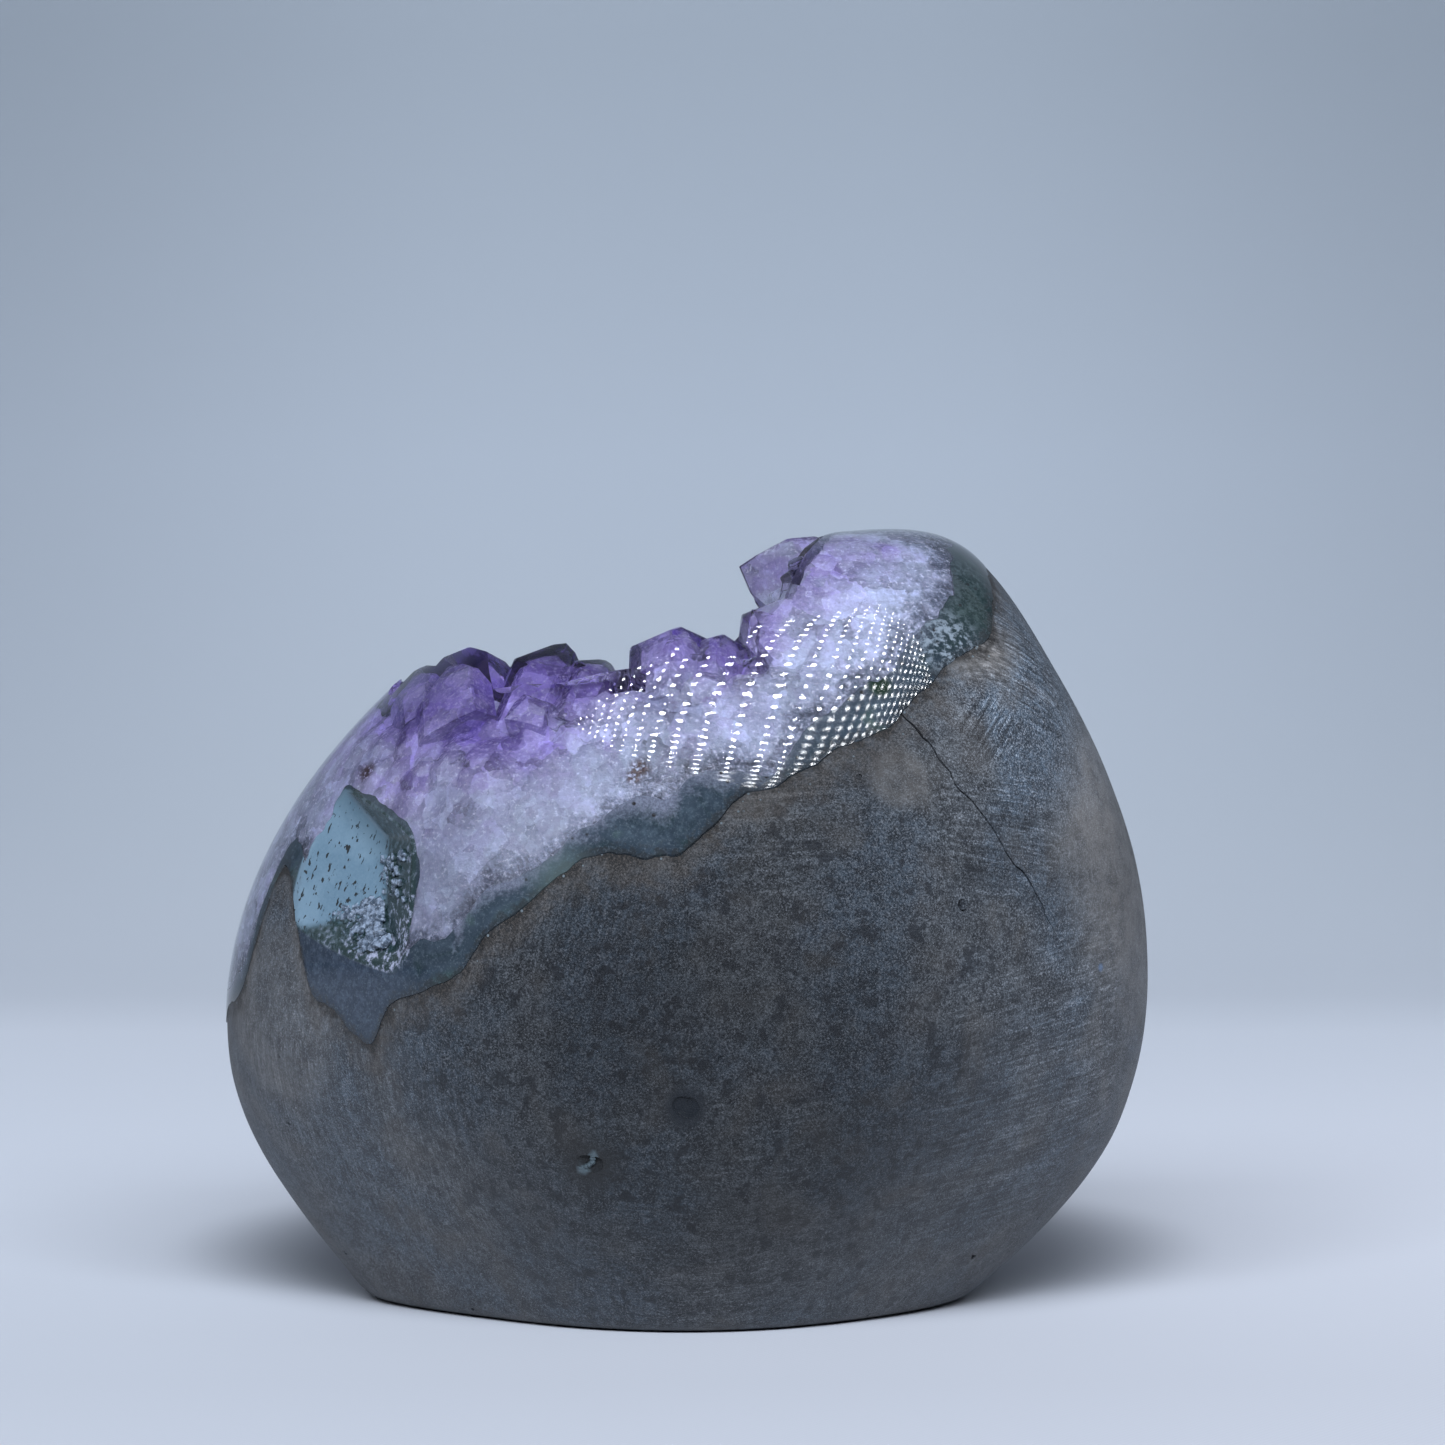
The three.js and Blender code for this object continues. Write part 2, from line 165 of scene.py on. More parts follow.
BITE_CREST = np.array([-0.447, 0.814, 0.370, 17.1])  # chalcedony ends here, at the basalt tongue
BITE_BED = np.array([1.6, 0.5, 1.3, 0.3])  # thickness of the chalcedony behind each face
# Where tiny points cover the foot and the side: corners of each strip.
SUGAR_STRIPS = np.array([
    [[-34.6, -22, 39.9], [-29.1, -25.5, 42], [-32.7, -25.3, 35.8], [-28.5, -29.5, 37.7]],
    [[-28.7, -25.1, 45.8], [-28.7, -25.8, 42.2], [-26.5, -29.8, 46.4], [-26.6, -30.6, 41.8]],
])

# The long crack on the right, and the mineral spots and pits on the front.
CRACK = np.array([
    [19.1, -26.5, 61.6], [22.8, -28.1, 57.4], [26.1, -28.9, 52.6], [30, -27.6, 47.4],
    [34, -24.7, 41.5], [36.5, -22.5, 36.6],
])
CRACK_WIDTH = 0.26
CRACK_DEPTH = 0.9
DARK_PIT = ((0.1, -37.5, 22.7), 1.5)  # place and radius
FILLED_PIT = ((-8.8, -36.0, 17.2), 1.5)
RING_PIT = ((26.5, -31.6, 41.4), 0.8)
SMALL_PITS = 150
SMALL_PIT_SIZE = (0.22, 0.42)

SKIN = 0.12  # the looks' outside lies this far inside the CAD body, which is faceted
SEAM = 0.02  # gap left between pieces that meet
BASALT_GRID = 88  # subdivisions of the sphere that the basalt's outside is shaped from
BASALT_WAVE = 0.12  # the hand-ground outside waves in and out by this much
CRUST_GRID = 100
CORE_GRID = 120
BITE_GRID = 56
SMALL_CRYSTALS = 150  # small points that fill the gaps between the large ones
EDGE_CRYSTALS = 46  # points of middling size that stand along the rim
SUGAR_CRYSTALS = 330  # tiny points at the foot of the bite and up its right side
SUGAR_AT_FOOT = 0.9  # share of them at the foot
HEART_DEPTH = 0.36  # a point's milky middle starts this share of its radius under its faces
PEAK_HEIGHT = 69.0  # tips above this stand on the peak, where the quartz is milkier
PEAK_HEART = 0.1  # so their milky middles start at this share of the usual depth
TWINS = 2  # smaller points that grow beside each large one
TWIN_DROP = 0.4  # a rim point's twins end at least this far below its tip
SMALL_ROOT = 1.5  # how deep the small points are rooted
EDGE_ROOT = 4.0  # and the middling ones along the rim
CRACK_STEPS = 56
CRACK_END = 12  # the crack grows narrow over its last steps
PYRAMID_SLOPE = 0.6  # how steep the low points of the milky quartz's top are
PYRAMID_STRETCH = 0.65  # their width as a share of their height on the stone
CORE_MARGIN = 3.0  # they start this far below the quartz's lower edge
CORE_POCKET = 1.2  # the milky quartz ends this far under the pocket's wall
LEAST_SKIN = 0.12  # least thickness of the clear skin over the milky quartz
CORE_CLEARANCE = 0.5  # least depth of the milky middles under the polished surface
BITE_MARGIN = 2.5  # the rind's pale upper band stops this far from the bite
ON_BODY = 0.03  # how far a place may lie from the polished surface and still count as on it
SHARP_ROCK, SHARP_CRYSTAL, SHARP_CORE = 35, 22, 25  # edges bent by more degrees look sharp
PIT_SHADE_DEPTHS = (0.42, 0.75)  # depths between which the pits and the crack get painted shade, darker the deeper they lie
FILL_REACH = (0.62, 0.5)  # the filled pit's pale filling fades between these distances


# ---- Small tools ----

def unit(vectors):
    return vectors / np.linalg.norm(vectors, axis=-1, keepdims=True)


def direction(azimuth, elevation):
    """Unit vectors at azimuths and elevations in degrees."""
    turn, rise = np.radians(azimuth), np.radians(elevation)
    return np.stack([np.cos(rise) * np.cos(turn), np.cos(rise) * np.sin(turn), np.sin(rise)], -1)


def ring_at(rows, azimuth, column=1, rounding=0.0):
    """Reads a closed ring of rows (azimuth, values...) at any azimuths, with its corners rounded."""
    turned = np.add.outer(rounding * np.linspace(-1, 1, 7), azimuth)
    return np.interp(turned, rows[:, 0], rows[:, column], period=360).mean(0)


def azimuth_of(points, axis=(0.0, 0.0)):
    """Azimuths of points about an upright axis, in degrees."""
    return np.degrees(np.arctan2(points[:, 1] - axis[1], points[:, 0] - axis[0])) % 360


def smoothstep(low, high, value):
    share = np.clip((value - low) / (high - low), 0, 1)
    return share * share * (3 - 2 * share)


def lattice_noise(points, size, seed):
    """Smooth noise from -1 to 1, with features of about the given size."""
    place = np.asarray(points, float) / size + 1000
    cell = np.floor(place).astype(np.int64)
    blend = place - cell
    blend = blend * blend * (3 - 2 * blend)
    total = np.zeros(len(place))
    for corner in itertools.product((0, 1), repeat=3):
        x, y, z = (cell + corner).T
        mixed = (x * 73856093) ^ (y * 19349663) ^ (z * 83492791) ^ (seed * 2654435761)
        mixed = (mixed ^ (mixed >> 13)) * 1274126177 & 0xFFFFFFFF
        mixed = (mixed ^ (mixed >> 16)) & 0xFFFF
        weight = np.prod(np.where(corner, blend, 1 - blend), axis=1)
        total += weight * (mixed / 0x7FFF - 1)
    return total


def layered_noise(points, size, seed, layers=3):
    """Noise with finer noise on it, each layer half the size and half the strength."""
    return sum(lattice_noise(points, size / 2**i, seed + i) / 2**i for i in range(layers))


def add_object(name, data):
    """An object in the scene from a mesh, a light or a camera."""
    made = bpy.data.objects.new(name, data)
    bpy.context.scene.collection.objects.link(made)
    return made


def make_object(name, points, triangles):
    """A mesh object from points in millimetres."""
    mesh = bpy.data.meshes.new(name)
    mesh.vertices.add(len(points))
    mesh.vertices.foreach_set("co", (np.asarray(points) * MM).astype(np.float32).ravel())
    mesh.loops.add(3 * len(triangles))
    mesh.loops.foreach_set("vertex_index", np.asarray(triangles, np.int32).ravel())
    mesh.polygons.add(len(triangles))
    mesh.polygons.foreach_set("loop_start", np.arange(0, 3 * len(triangles), 3, dtype=np.int32))
    mesh.update(calc_edges=True)
    return add_object(name, mesh)


def read(items, name, width=3, kind=np.float32):
    """One row per item of a mesh, or one number where the width is 1."""
    flat = np.empty(width * len(items), kind)
    items.foreach_get(name, flat)
    return flat.reshape(-1, width) if width > 1 else flat


def points_of(obj):
    """The vertices of an object's mesh in millimetres."""
    return read(obj.data.vertices, "co").astype(float) / MM


def boolean(target, operation, tools):
    """Cuts or joins closed meshes for good, and removes the tools."""
    group = bpy.data.collections.new("tools")
    for tool in tools:
        group.objects.link(tool)
    modifier = target.modifiers.new("boolean", "BOOLEAN")
    modifier.operation = operation
    modifier.solver = "MANIFOLD"
    modifier.operand_type = "COLLECTION"
    modifier.collection = group
    depsgraph = bpy.context.evaluated_depsgraph_get()
    mesh = bpy.data.meshes.new_from_object(target.evaluated_get(depsgraph))
    target.modifiers.clear()
    target.data = mesh
    bpy.data.collections.remove(group)
    for tool in tools:
        bpy.data.objects.remove(tool)
    return target


def largest_part(obj):
    """Keeps the largest connected part of a mesh."""
    shape = bmesh.new()
    shape.from_mesh(obj.data)
    shape.verts.ensure_lookup_table()
    seen = np.zeros(len(shape.verts), bool)
    parts = []
    for start in shape.verts:
        if seen[start.index]:
            continue
        seen[start.index] = True
        part, waiting = [], [start]
        while waiting:
            vertex = waiting.pop()
            part.append(vertex)
            for edge in vertex.link_edges:
                other = edge.other_vert(vertex)
                if not seen[other.index]:
                    seen[other.index] = True
                    waiting.append(other)
        parts.append(part)
    keep = max(parts, key=len)
    for part in parts:
        if part is not keep:
            bmesh.ops.delete(shape, geom=part, context="VERTS")
    shape.to_mesh(obj.data)
    shape.free()
    return obj


def set_attribute(obj, name, values, domain="POINT"):
    attribute = obj.data.attributes.new(name, "FLOAT", domain)
    attribute.data.foreach_set("value", np.asarray(values, np.float32))


# ---- The ground body ----

FACET_NORMALS = direction(GROUND_FACETS[:, 0], GROUND_FACETS[:, 1])
FACET_DISTANCES = GROUND_FACETS[:, 2]
BASE_BLEND = 60  # rounds the edge of the flat base a little
BASE_DROP = 0.9 * SKIN  # the underside is moved back down this far, to stand on the floor
LOWEST = 0.01


def facet_shares(offsets):
    """How far offsets from the body's centre reach towards each facet."""
    return np.maximum(offsets @ FACET_NORMALS.T / FACET_DISTANCES, 0)


def body_measure(offsets):
    """Below 1 inside the ground body and above 1 outside it, for offsets from its centre."""
    return (facet_shares(offsets) ** FACET_BLEND).sum(-1) ** (1 / FACET_BLEND)


def stone_measure(offsets):
    """The same with the flat base."""
    below = np.maximum(-offsets[..., 2] / BODY_CENTRE[2], 0)
    return (body_measure(offsets) ** BASE_BLEND + below**BASE_BLEND) ** (1 / BASE_BLEND)


def body_radius_at(azimuth, height):
    """The body's radius about its upright axis, at azimuths and heights."""
    outward = direction(azimuth, np.zeros_like(azimuth))
    inside, outside = np.full(len(azimuth), 15.0), np.full(len(azimuth), 60.0)
    rise = np.array([0, 0, 1]) * (height - BODY_CENTRE[2])[:, None]
    for _ in range(24):
        radius = (inside + outside) / 2
        within = body_measure(outward * radius[:, None] + rise) < 1
        inside, outside = np.where(within, radius, inside), np.where(within, outside, radius)
    return inside


def body_normal(points):
    """The outward normal of the body's surface at points on it."""
    shares = facet_shares(points - BODY_CENTRE)
    return unit((shares ** (FACET_BLEND - 1) / FACET_DISTANCES) @ FACET_NORMALS)


def sphere_grid(count):
    """Unit directions and triangles of an icosahedron, each of its edges cut into count."""
    shape = bmesh.new()
    bmesh.ops.create_icosphere(shape, subdivisions=1, radius=1)
    corners = np.array([v.co for v in shape.verts])
    faces = [[v.index for v in f.verts] for f in shape.faces]
    shape.free()
    steps = [(i, j) for i in range(count + 1) for j in range(count + 1 - i)]
    index = {step: k for k, step in enumerate(steps)}
    weights = np.array([(count - i - j, i, j) for i, j in steps]) / count
    cells = []
    for i, j in steps:
        if i + j < count:
            cells.append((index[i, j], index[i + 1, j], index[i, j + 1]))
        if i + j < count - 1:
            cells.append((index[i + 1, j], index[i + 1, j + 1], index[i, j + 1]))
    cells = np.array(cells)
    points = np.concatenate([weights @ corners[face] for face in faces])
    triangles = np.concatenate([cells + k * len(steps) for k in range(len(faces))])
    _, first, same = np.unique(np.round(points, 6), axis=0, return_index=True, return_inverse=True)
    return unit(points[first]), same.reshape(-1)[triangles]


def body_points(directions, inset):
    """Points of the stone's outside along directions, moved in by an inset, on its flat base."""
    points = BODY_CENTRE + directions * (1 / stone_measure(directions) - inset)[:, None]
    drop = BASE_DROP * smoothstep(2, 0.2, points[:, 2])
    points[:, 2] = np.maximum(points[:, 2] - drop, LOWEST)
    return points


def body_object(name, grid, inset=SKIN):
    """The whole ground stone, moved in by an inset."""
    directions, triangles = sphere_grid(grid)
    return make_object(name, body_points(directions, inset), triangles)


# ---- Bowls: the basalt's hollow, the rind's inside and the crystal pocket ----

FLARE = 1.25  # a bowl's wall is carried on past the rim this far
LID = 130.0  # and then up to here
BOWL_TURNS, BOWL_RINGS = 900, 24


def bowl_object(name, axis, floor, curve, rim, turns, rings, shift=None):
    """The closed solid that fills a bowl. rim gives radius and height at azimuths."""
    azimuth = np.arange(turns) * 360 / turns
    radius, height = rim(azimuth)
    turn = np.radians(azimuth)
    rows = [np.array([[axis[0], axis[1], floor]])]
    for ring in range(1, rings + 1):
        share = ring / rings * FLARE
        row = np.stack([
            axis[0] + radius * share * np.cos(turn),
            axis[1] + radius * share * np.sin(turn),
            floor + (height - floor) * share**curve,
        ], 1)
        rows.append(row if shift is None else row + shift(row))
    rows.append(np.column_stack([rows[-1][:, :2], np.full(turns, LID)]))
    rows.append(np.array([[axis[0], axis[1], LID]]))
    points = np.concatenate(rows)
    step = np.arange(turns)
    after = (step + 1) % turns
    triangles = [np.stack([np.zeros(turns, int), 1 + after, 1 + step], 1)]
    for ring in range(rings):
        near, far = 1 + ring * turns, 1 + (ring + 1) * turns
        triangles.append(np.stack([near + step, near + after, far + after], 1))
        triangles.append(np.stack([near + step, far + after, far + step], 1))
    last = 1 + rings * turns
    top = np.full(turns, len(points) - 1)
    triangles.append(np.stack([top, last + step, last + after], 1))
    return make_object(name, points, np.concatenate(triangles))


def edge_point(azimuth, height):
    """Points of the body's surface at azimuths and heights."""
    outward = direction(azimuth, np.zeros_like(azimuth))
    return outward * body_radius_at(azimuth, height)[:, None] + np.array([0, 0, 1]) * height[:, None]


def basalt_edge_height(azimuth):
    """The basalt's edge, with the small waves that it has all round."""
    height = ring_at(BASALT_EDGE, azimuth, rounding=1.3)
    return height + 0.42 * layered_noise(edge_point(azimuth, height), 3.6, 5, 4)


def rind_edge_height(azimuth):
    """Where the chalcedony ends and the quartz begins."""
    height = ring_at(BASALT_EDGE, azimuth, rounding=2) + ring_at(RIND_THICKNESS, azimuth, rounding=2)
    return height + 0.8 * layered_noise(edge_point(azimuth, height), 4.2, 9, 5)


def crust_bowl(edge_height, floor, raised):
    """All that lies above a layer of the crust, kept clear of it by the given amount."""
    def rim(azimuth):
        height = edge_height(azimuth)
        return body_radius_at(azimuth, height) - raised, height + raised

    return bowl_object("bowl", (0, 0), floor + raised, CRUST_CURVE, rim, BOWL_TURNS, BOWL_RINGS)


def pocket_bowl(sunk, turns, rings, shift=None):
    """The open pocket, made larger all round by the given amount."""
    def rim(azimuth):
        radius, height = ring_at(POCKET_RIM, azimuth, rounding=3), ring_at(POCKET_RIM, azimuth, 2, 3)
        edge = np.column_stack([direction(azimuth, 0 * azimuth)[:, :2] * radius[:, None], height])
        return radius + sunk, height + 0.8 * layered_noise(edge, 4, 41)

    return bowl_object("pocket", POCKET_AXIS, POCKET_FLOOR - sunk, POCKET_CURVE, rim, turns, rings, shift)


def pocket_point(azimuth, share):
    """A place on the pocket's wall, at a share of the way from its floor to its rim."""
    radius, height = ring_at(POCKET_RIM, azimuth), ring_at(POCKET_RIM, azimuth, 2)
    turn = math.radians(azimuth)
    return np.array([
        POCKET_AXIS[0] + radius * share * math.cos(turn),
        POCKET_AXIS[1] + radius * share * math.sin(turn),
        POCKET_FLOOR + (height - POCKET_FLOOR) * share**POCKET_CURVE,
    ])


def growth_share(points):
    """0 where quartz starts at the rind and 1 where it ends at the pocket."""
    start = rind_edge_height(azimuth_of(points))
    around = azimuth_of(points, POCKET_AXIS)
    end = ring_at(POCKET_RIM, around, 2)
    share = np.clip((points[:, 2] - start) / np.maximum(end - start, 4), 0, 1)
    share = share ** ring_at(WHITENESS, around)
    reach = np.hypot(points[:, 0] - POCKET_AXIS[0], points[:, 1] - POCKET_AXIS[1])
    inside = 1 - smoothstep(0.86, 1.02, reach / ring_at(POCKET_RIM, around))
    return np.maximum(share, inside) * ring_at(WHITENESS, around, 2)


def bite_shape(name, grown, roundness, waves, *sides):
    """The space of the bite in the left shoulder, made larger behind each face, within more sides."""
    outward = BITE_FACES[0, :3]
    planes = np.vstack([
        np.column_stack([-BITE_FACES[:, :3], grown - BITE_FACES[:, 3]]),
        [*outward, BITE_CENTRE @ outward + BITE_OPENING], *sides,
    ])
    directions, triangles = sphere_grid(BITE_GRID)
    room = planes[:, 3] - planes[:, :3] @ BITE_CENTRE
    shares = np.maximum(directions @ planes[:, :3].T / room, 0)
    total = (shares**roundness).sum(1) + (1 / BITE_REACH) ** roundness
    points = BITE_CENTRE + directions * (total ** (-1 / roundness))[:, None]
    points = points + directions * (waves * layered_noise(points, 2.6, 51, 3))[:, None]
    return make_object(name, points, triangles)


def bite_space():
    return bite_shape("bite", np.zeros(len(BITE_FACES)), 36, 0.03)


def bite_bed(grown):
    """The chalcedony round the bite, which ends at the basalt tongue."""
    return bite_shape("bite_bed", BITE_BED + grown, 10, 0.45, [*BITE_CREST[:3], BITE_CREST[3] + grown])


def above_bite(points):
    """How far points lie out from each face of the bite."""
    return points @ BITE_FACES[:, :3].T - BITE_FACES[:, 3]


# ---- Quartz points ----

def random_numbers(seed):
    """The CAD part's seeded random numbers, so that its points can be made again here."""
    state = seed
    whole = 0xFFFFFFFF

    def draw():
        nonlocal state
        state = (state + 0x6D2B79F5) & whole
        mixed = ((state ^ (state >> 15)) * (1 | state)) & whole
        mixed = ((mixed + ((mixed ^ (mixed >> 7)) * (61 | mixed) & whole)) & whole) ^ mixed
        return ((mixed ^ (mixed >> 14)) & whole) / 4294967296

    return draw


def corners_of(planes):
    """Corners of the convex solid inside planes, each a normal and a distance."""
    normals, distances = planes[:, :3], planes[:, 3]
    triples = np.array(list(itertools.combinations(range(len(planes)), 3)))
    sides = normals[triples]
    good = np.abs(np.linalg.det(sides)) > 1e-4
    triples, sides = triples[good], sides[good]
    corners = np.linalg.solve(sides, distances[triples][..., None])[..., 0]
    inside = (corners @ normals.T <= distances + 1e-6).all(1)
    return corners[inside]


def chamfered(planes, chamfer):
    """Adds a narrow plane along each edge, so that edges catch the light as real ones do."""
    corners = corners_of(planes)
    on_plane = np.abs(corners @ planes[:, :3].T - planes[:, 3]) < 1e-5
    extra = []
    for a, b in itertools.combinations(range(len(planes)), 2):
        shared = corners[on_plane[:, a] & on_plane[:, b]]
        if len(shared) < 2 or np.ptp(shared, axis=0).max() < 0.1:
            continue
        normal = planes[a, :3] + planes[b, :3]
        steepness = np.linalg.norm(planes[a, :3] - planes[b, :3]) / np.linalg.norm(normal)
        normal = unit(normal)
        extra.append([*normal, (shared @ normal).max() - chamfer * min(1, 1.5 * steepness)])
    return np.vstack([planes, extra])


def hull_object(points, name="crystal"):
    """The convex solid around points in millimetres."""
    shape = bmesh.new()
    for point in np.unique(np.round(points, 4), axis=0):
        shape.verts.new(point * MM)
    made = bmesh.ops.convex_hull(shape, input=shape.verts)
    inner = made["geom_interior"] + made["geom_unused"]
    loose = {item for item in inner if isinstance(item, bmesh.types.BMVert)}
    bmesh.ops.delete(shape, geom=list(loose), context="VERTS")
    mesh = bpy.data.meshes.new(name)
    shape.to_mesh(mesh)
    shape.free()
    return add_object(name, mesh)


def point_planes(radius, length, random):
    """The faces of a six-sided quartz point along +Z: prism, three large and three small."""
    planes = [[0, 0, -1, 0]]
    slope = math.radians(90 - TERMINATION_SLOPE)
    for side in range(6):
        turn = math.radians(60 * side)
        sideways = np.array([math.cos(turn), math.sin(turn), 0])
        planes.append([*sideways, radius * (1 - PRISM_SPREAD + PRISM_SPREAD * random())])
        sloping = np.array([*(sideways[:2] * math.sin(slope)), math.cos(slope)])
        set_back = SMALL_FACE_SPREAD * random() if side % 2 else 0
        planes.append([*sloping, sloping[2] * length + radius * set_back])
    return np.array(planes)


def crystal(root, tip, radius, random, chamfer=0.05, spin=None):
    """A quartz point from its root to its tip, its faces (planes) and how it is turned."""
    root, tip = np.array(root, float), np.array(tip, float)
    along = tip - root
    planes = point_planes(radius, np.linalg.norm(along), random)
    spin = random() * math.pi if spin is None else math.radians(spin)
    tilt = Vector((0, 0, 1)).rotation_difference(Vector(along)).to_matrix()
    turned = np.array(tilt) @ np.array([
        [math.cos(spin), -math.sin(spin), 0], [math.sin(spin), math.cos(spin), 0], [0, 0, 1],
    ])
    return hull_object(corners_of(chamfered(planes, chamfer)) @ turned.T + root), planes, turned


def heart(planes, turned, root, depth):
    """The milky middle of a point, at a depth under its faces."""
    inner = planes - [0, 0, 0, 1] * np.where(planes[:, 2:3] < -0.5, -0.5, depth)
    corners = corners_of(inner)
    return hull_object(corners @ turned.T + root, "heart") if len(corners) > 4 else None


def milky_point(hearts, root, tip, radius, random, chamfer=0.05, spin=None, share=1.0):
    """A quartz point, whose milky middle is added to hearts, and how it is turned."""
    body, planes, turned = crystal(root, tip, radius, random, chamfer, spin)
    hearts.append(heart(planes, turned, root, HEART_DEPTH * radius * share))
    return body, turned


def twin(root, tip, radius, turned, random, draw):
    """A smaller point with the same faces as its neighbour, a little to one side of it."""
    length = np.linalg.norm(np.array(tip, float) - root)
    size = radius * draw.uniform(0.35, 0.62)
    around = draw.uniform(0, 2 * math.pi)
    aside = radius * draw.uniform(0.45, 0.8) * np.array([math.cos(around), math.sin(around), 0])
    stands = length * draw.uniform(0.72, 0.9)
    planes = point_planes(size, stands, random)
    corners = corners_of(chamfered(planes, 0.04))
    return hull_object((corners + aside) @ turned.T + root)


def below_rim(foot, aim, stands):
    """Shortens a point so that it stays below the rim beside it."""
    rim = ring_at(POCKET_RIM, azimuth_of(foot[None], POCKET_AXIS), 2)[0]
    return min(stands, max((rim - BELOW_RIM - foot[2]) / max(aim[2], LEAST_RISE), LEAST_STAND))


def lining_crystals(draw, hearts):
    """The points that line the pocket, whose milky middles are added to hearts."""
    random = random_numbers(SEED)
    golden_turn = 360 * (1 - 2 / (1 + math.sqrt(5)))
    made = []
    for i in range(CRYSTAL_COUNT):
        share = min(((i + 0.5) / CRYSTAL_COUNT) ** 0.42, 0.96)
        foot = pocket_point(i * golden_turn % 360, share)
        aim = unit(CRYSTAL_FOCUS - foot)
        aim[0] += CRYSTAL_LEAN * (random() - 0.5)
        aim[1] += CRYSTAL_LEAN * (random() - 0.5)
        aim = unit(aim)
        radius = CRYSTAL_RADIUS[0] + (CRYSTAL_RADIUS[1] - CRYSTAL_RADIUS[0]) * random()
        stands = CRYSTAL_STANDS[0] + (CRYSTAL_STANDS[1] - CRYSTAL_STANDS[0]) * random()
        root, tip = foot - aim * CRYSTAL_ROOT, foot + aim * below_rim(foot, aim, stands)
        body, turned = milky_point(hearts, root, tip, radius, random)
        made.append(body)
        twins = random_numbers(SEED + 100 + i)
        made += [twin(root, tip, radius, turned, twins, draw) for _ in range(TWINS)]
    return made


def rim_crystals(draw, hearts):
    """The larger points of the skyline, each with its smaller twins."""
    random = random_numbers(SEED + 1)
    made = []
    for i, (tip, root, radius, spin) in enumerate(RIM_CRYSTALS):
        share = PEAK_HEART if tip[2] > PEAK_HEIGHT else 1.0
        body, turned = milky_point(hearts, root, tip, radius, random, 0.08, spin, share)
        made.append(body)
        twins = random_numbers(SEED + 300 + i)
        for _ in range(TWINS):
            beside = twin(root, tip, radius, turned, twins, draw)
            if points_of(beside)[:, 2].max() < points_of(body)[:, 2].max() - TWIN_DROP:
                made.append(beside)
            else:
                bpy.data.objects.remove(beside)
    return made


def small_crystals(draw):
    """Small points that fill the gaps between the large ones."""
    random = random_numbers(SEED + 2)
    made = []
    for _ in range(SMALL_CRYSTALS):
        foot = pocket_point(draw.uniform(0, 360), draw.uniform(0.05, 0.95) ** 0.45)
        aim = unit(unit(CRYSTAL_FOCUS - foot) + draw.uniform(-0.45, 0.45, 3))
        radius = draw.uniform(0.9, 2.2)
        stands = below_rim(foot, aim, draw.uniform(1.4, 3.6))
        made.append(crystal(foot - aim * SMALL_ROOT, foot + aim * stands, radius, random, 0.03)[0])
    return made


def edge_crystals(draw, hearts):
    """Points of middling size that stand along the rim, so that it has no even edge."""
    random = random_numbers(SEED + 4)
    made = []
    for i in range(EDGE_CRYSTALS):
        azimuth = 360 * (i + draw.uniform(-0.4, 0.4)) / EDGE_CRYSTALS
        foot = pocket_point(azimuth, draw.uniform(0.88, 1.0))
        inward = unit(np.array([*(POCKET_AXIS - foot[:2]), 0.0]))
        aim = unit(inward * draw.uniform(0.2, 1.1) + [0, 0, 1] + draw.uniform(-0.3, 0.3, 3))
        radius = draw.uniform(1.7, 3.4)
        root, tip = foot - aim * EDGE_ROOT, foot + aim * draw.uniform(0.4, 2.2)
        made.append(milky_point(hearts, root, tip, radius, random)[0])
    return made


def sugar_crystals(draw):
    """The crust of tiny points at the foot of the bite and up its right side."""
    random = random_numbers(SEED + 3)
    made = []
    for _ in range(SUGAR_CRYSTALS):
        strip = SUGAR_STRIPS[int(draw.uniform() > SUGAR_AT_FOOT)]
        across, down = draw.uniform(0, 1), draw.uniform(0, 1) ** 1.2
        top, bottom = (strip[k] * (1 - across) + strip[k + 1] * across for k in (0, 2))
        foot = top * (1 - down) + bottom * down
        aim = unit(BITE_FACES[0, :3] + draw.uniform(-0.7, 0.7, 3))
        size = 0.2 + 0.42 * draw.uniform() ** 1.5
        made.append(crystal(foot - aim * 0.8, foot + aim * size * 0.8, size, random, 0.02)[0])
    return made


# ---- The pieces ----

def lump(centre, radii, draw, corners=26):
    """A small rounded lump with uneven sides, to cut a pit with or to fill one."""
    spots = unit(draw.normal(size=(corners, 3)))
    return hull_object(np.array(centre) + spots * radii * draw.uniform(0.85, 1, (corners, 1)), "lump")


def on_surface(point):
    """The point of the ground body's surface that lies out from the centre through a point."""
    offset = np.array(point, float) - BODY_CENTRE
    return BODY_CENTRE + offset / stone_measure(offset)


PIT_SUNK = 0.22  # the middles of the pits lie this far under the surface
FILL_SUNK = 0.5
FILL_RADII = [0.34, 0.4, 0.34]
RING_FILL_RADII = [0.35, 0.5, 0.35]
FILL_OFFSETS = [
    (-0.8, 0, -0.75), (-0.5, 0, -0.45), (-0.15, 0, -0.2), (0.15, 0, 0.1), (0.2, 0, 0.5), (0.25, 0, 0.85),
]
FILL_PLACES = np.array([on_surface(np.array(FILLED_PIT[0]) + offset) for offset in FILL_OFFSETS])


